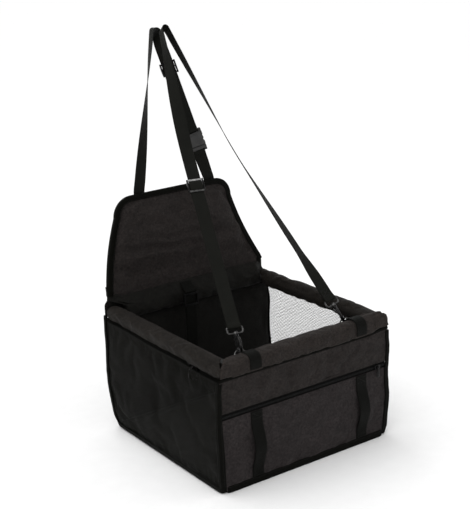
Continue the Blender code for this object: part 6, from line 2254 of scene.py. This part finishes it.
SLIDER_FACE = (
    (-7, -2.9), (-5.8, -3.6), (0, -3.8), (4, -4.4), (7, -3.6),
    (7, 3.6), (4, 4.4), (0, 3.8), (-5.8, 3.6), (-7, 2.9),
)
PULL_FACE = (
    (-0.8, -1.4), (0.8, -1.4), (0.85, -5), (1.25, -10), (1.3, -16), (1.15, -19.5), (0.7, -21.4),
    (0, -22), (-0.7, -21.4), (-1.15, -19.5), (-1.3, -16), (-1.25, -10), (-0.85, -5),
)


def make_zip_slider(reach):
    """The slider's plate, side flanges, bridge and pin, and the pull that swings on it."""
    half = SLIDER_LENGTH / 2
    home = Matrix.Translation((reach - half - 1 * MM, -HALF_D, ZIP_HEIGHT))
    plate_in, plate_out = -COIL_PROUD / MM - 0.6, -COIL_PROUD / MM - 2.4
    face = spots_mm(SLIDER_FACE, (plate_in + plate_out) / 2 * MM)
    shape = Shape()
    shape.from_bmesh(plate(face, (plate_in - plate_out) / 2 * MM, 0.5 * MM), home)
    half_x, inner, flange = half / MM, COIL_WIDTH / 2 / MM + 0.5, ZIP_SLOT / 2 / MM - 0.6
    pin_y, pin_radius, pin_half = plate_out - 2.2, 0.8, 3.4
    for sign in (-1, 1):
        flanges = (sign * inner, sign * flange)
        shape.from_bmesh(slab((-half_x, half_x), (plate_in - 0.4, 1.1), flanges, 0.3), home)
    for sign in (-1, 1):
        ear = (sign * pin_half - 0.6, sign * pin_half + 0.6)
        shape.from_bmesh(slab(ear, (pin_y - 1.1, plate_out + 0.5), (-1.2, 1.2), 0.35), home)
    pin = [Vector((x * MM, pin_y * MM, 0)) for x in (-pin_half, pin_half)]
    shape.from_bmesh(loft([circle(at, pin_radius * MM, Y, Z, 14) for at in pin]), home)
    shape.piece("zip_slider_body", LOOKS["metal"], "zip_slider", "metal", "zip_slider")
    pivot = home @ Matrix.Translation((0, pin_y * MM, 0))
    half_w = pin_half - 0.6 - GAP / MM
    shape = Shape()
    bore = pin_radius + 0.25
    eye = (
        (-half_w, 1.6), (-half_w + 0.3, 1.9), (half_w - 0.3, 1.9), (half_w, 1.6),
        (half_w, bore), (-half_w, bore),
    )
    rings = [circle(Vector((x * MM, 0, 0)), r * MM, Y, Z, 16) for x, r in eye]
    shape.from_bmesh(loft(rings, closed=True), pivot)
    tab = spots_mm([(x * half_w, z) for x, z in PULL_FACE])
    shape.from_bmesh(plate(tab, 0.7 * MM, 0.35 * MM), pivot)
    rib_x = (-half_w * 0.9, half_w * 0.9)
    for z in (-11, -13, -15, -17):
        for sign in (-1, 1):
            rib = slab(rib_x, (sign * 0.65, sign * 0.95), (z - 0.4, z + 0.4), 0.12, 1)
            shape.from_bmesh(rib, pivot)
    shape.piece("zip_pull_tab", LOOKS["metal"], "zip_pull", "metal", "zip_pull")


# Stitching

STITCH_LENGTH = 2.7 * MM
STITCH_GAP = 0.8 * MM
STITCH_WIDTH = 0.55 * MM
STITCH_LIFT = 0.28 * MM
STITCH_SHARES = (0, 0.25, 0.5, 0.75, 1)
SEAM_INSET = 1.6 * MM


def stitches(shape, path, out):
    """A row of raised stitches along a path, each sunk at both ends."""
    rows = spline([tuple(p) for p in path], 0.8 * MM)
    run = lengths_along(rows)
    total = run[-1]
    count = int(total / (STITCH_LENGTH + STITCH_GAP))
    faces = []
    for a in range(0, 12, 3):
        faces += [(a + k, a + k + 1, a + k + 4, a + k + 3) for k in range(2)]
    uvs = [[((v % 3) * 0.3 * MM, (v // 3) * STITCH_LENGTH / 4) for v in f] for f in faces]
    for i in range(count):
        start = (i + 0.5) * total / count - STITCH_LENGTH / 2
        spots = []
        for t in STITCH_SHARES:
            at = start + STITCH_LENGTH * t
            spots.append(Vector([float(np.interp(at, run, rows[:, k])) for k in range(3)]))
        ahead = (spots[-1] - spots[0]).normalized()
        side = ahead.cross(out).normalized()
        points = []
        for spot, t in zip(spots, STITCH_SHARES):
            arch = math.sin(math.pi * t)
            rise = STITCH_LIFT * arch - 0.06 * MM
            wide = STITCH_WIDTH / 2 * (0.55 + 0.45 * arch)
            foot = out * (rise - 0.1 * MM)
            points += [spot - side * wide + foot]
            points += [spot + out * (rise + wide * 0.7), spot + side * wide + foot]
        shape.add(points, faces, uvs)


def sewn_box(name, body, middle, axes, height, crossed=True):
    """A box of stitches, with a cross in it where the strap bears a load.

    axes are the directions across the strap, along it and out of it.
    """
    across, up, out = (axis.normalized() for axis in axes)
    corners = [
        middle + across * (sx * SEWN_WIDTH / 2) + up * (sz * height / 2)
        for sx, sz in ((-1, -1), (1, -1), (1, 1), (-1, 1))
    ]
    runs = list(zip(corners, corners[1:] + corners[:1]))
    if crossed:
        runs += [(corners[0], corners[2]), (corners[1], corners[3])]
    shape = Shape()
    for start, end in runs:
        stitches(shape, [start, (start + end) / 2, end], out)
    shape.piece(name, LOOKS["thread"], body, "webbing", angle=80)


def sew_row(shape, start, end, count, out):
    """Stitches along a straight seam of the box, which sags and bulges with it."""
    row = np.linspace(start, end, count)
    stitches(shape, [Vector(slump(p)) for p in row], out)


def make_stitching():
    """The rows of sewing that show on the box and the backrest."""
    shape = Shape()
    upright = BINDING_WIDTH * UPRIGHT_BINDING
    reach = HALF_W - upright - 1 * MM
    proud = BINDING_THICK + 0.1 * MM
    z_foot = FLOOR_Z + BINDING_WIDTH - SEAM_INSET
    z_top = SIDE_SEAM_Z - 3 * MM
    off_zip = ZIP_SHOWS / 2 + 2.2 * MM
    for z in (ZIP_HEIGHT + off_zip, ZIP_HEIGHT - off_zip):
        y = -HALF_D - 0.15 * MM
        sew_row(shape, (-reach, y, z), (reach, y, z), 40, -Y)
    for sign in (-1, 1):
        x, y = sign * (HALF_W - upright + SEAM_INSET), -HALF_D - proud
        sew_row(shape, (x, y, 16 * MM), (x, y, FRONT_SEAM_Z - 4 * MM), 24, -Y)
        x, y = sign * (HALF_W + proud), HALF_D - upright + SEAM_INSET
        sew_row(shape, (x, -y, z_foot), (x, y, z_foot), 40, X * sign)
        sew_row(shape, (x, -y, z_foot), (x, -y, z_top), 24, X * sign)
        sew_row(shape, (x, y, z_foot), (x, y, z_top), 24, X * sign)
    for sign in (-1, 1):
        y = sign * (HALF_D + proud)
        sew_row(shape, (-reach, y, z_foot), (reach, y, z_foot), 40, Y * sign)
    shape.piece("box_sewing", LOOKS["thread"], "box", "oxford", angle=80)
    shape = Shape()
    face = BACKREST_THICK / 2 + GAP + BACKREST_TAPE_THICK + 0.25 * MM
    side = [(backrest_half_width(up), up) for up in backrest_levels(9 * MM)[1:]]
    edge = [(-x, up, 0) for x, up in side] + [(x, up, 0) for x, up in side[::-1]]
    rows = spline(edge, 3 * MM)
    ahead = np.gradient(rows, axis=0)
    ahead /= np.linalg.norm(ahead, axis=1, keepdims=True)
    inset = BINDING_WIDTH - 2 * MM - SEAM_INSET
    inner = rows[:, :2] - joined(-ahead[:, 1], ahead[:, 0]) * inset
    for way in (1, -1):
        out = on_backrest(0, 0, way) - on_backrest(0, 0, 0)
        line = [on_backrest(x - backrest_sway(up), up, way * face) for x, up in inner]
        stitches(shape, line, out.normalized())
    shape.piece("backrest_sewing", LOOKS["thread"], "backrest", "oxford", angle=80)


# Pieces that keep their CAD shape


def dress_frame():
    """Gives the tubes, elbows and boards their looks."""
    dressed = {
        "tube": [name for name in frame["nodes"] if name.startswith("frame_")],
        "board": ["base_board"],
        "stiffener": ["backrest_stiffener"],
    }
    for look, names in dressed.items():
        for name in names:
            found = frame["nodes"][name]
            found.data.materials.clear()
            found.data.materials.append(LOOKS[look])


# Studio. A light's size is an angle for the sun, and metres for the others.

SKY = 0.72
LIGHT_TARGET = Vector((0, 0, 0.28))
LIGHTS = (
    ("sun", "SUN", (-1.1, 0.5, 3.0), math.radians(60), 1.35),
    ("key", "AREA", (-1.5, -1.6, 2.2), 0.7, 7),
    ("fill", "AREA", (2.2, -1.2, 1.6), 0.8, 4),
    ("back", "AREA", (0.4, 2.0, 2.4), 0.8, 6),
)
CAMERA_SPOT = Vector((-1.3818, -1.9157, 1.1217))
CAMERA_AZIMUTH = math.radians(-35.43)
CAMERA_ELEVATION = math.radians(17.46)
CAMERA_ROLL = math.radians(-1.97)
CAMERA_LENS = 89.3


def make_studio():
    """A pale floor and sky, one wide sun and three soft lamps."""
    shape = Shape()
    floor = flat_grid((-9, -9, 0), (18, 0, 0), (0, 18, 0), 5, 5)
    shape.grid(floor, flat_uv(floor, 0, 1))
    shape.piece("studio_floor", LOOKS["floor"], None)
    world = bpy.data.worlds.new("studio")
    world.use_nodes = True
    background = world.node_tree.nodes["Background"].inputs
    background["Color"].default_value = (1, 1, 1, 1)
    background["Strength"].default_value = SKY
    bpy.context.scene.world = world
    for name, kind, spot, size, power in LIGHTS:
        light = bpy.data.lights.new(name, kind)
        if kind == "SUN":
            light.angle = size
        else:
            light.size = size
        light.energy = power
        lamp = placed(name, light)
        lamp.location = spot
        lamp.rotation_euler = (LIGHT_TARGET - Vector(spot)).to_track_quat("-Z", "Y").to_euler()
    bpy.context.scene.view_settings.view_transform = "Standard"


def make_camera():
    """The camera that was fitted to the photo's corners."""
    level = math.cos(CAMERA_ELEVATION)
    back = Vector((
        math.sin(CAMERA_AZIMUTH) * level, -math.cos(CAMERA_AZIMUTH) * level,
        math.sin(CAMERA_ELEVATION),
    ))
    right = (-back).cross(Z).normalized()
    up = right.cross(-back)
    turned_right = math.cos(CAMERA_ROLL) * right + math.sin(CAMERA_ROLL) * up
    turned_up = -math.sin(CAMERA_ROLL) * right + math.cos(CAMERA_ROLL) * up
    camera = bpy.data.cameras.new("camera")
    camera.sensor_fit = "VERTICAL"
    camera.sensor_height = camera.sensor_width = 36
    camera.lens = CAMERA_LENS
    made = placed("camera", camera)
    made.matrix_world = axes_matrix(turned_right, turned_up, back, CAMERA_SPOT)
    bpy.context.scene.camera = made


make_camera()
make_studio()
dress_frame()
make_front()
make_walls()
make_floor()
make_nets()
make_rims()
make_channel()
make_bindings()
make_backrest()
make_zip()
make_pocket_bands()
make_ring_tabs()
make_rings()
make_front_strap()
make_headrest_strap()
make_tether()
make_stitching()
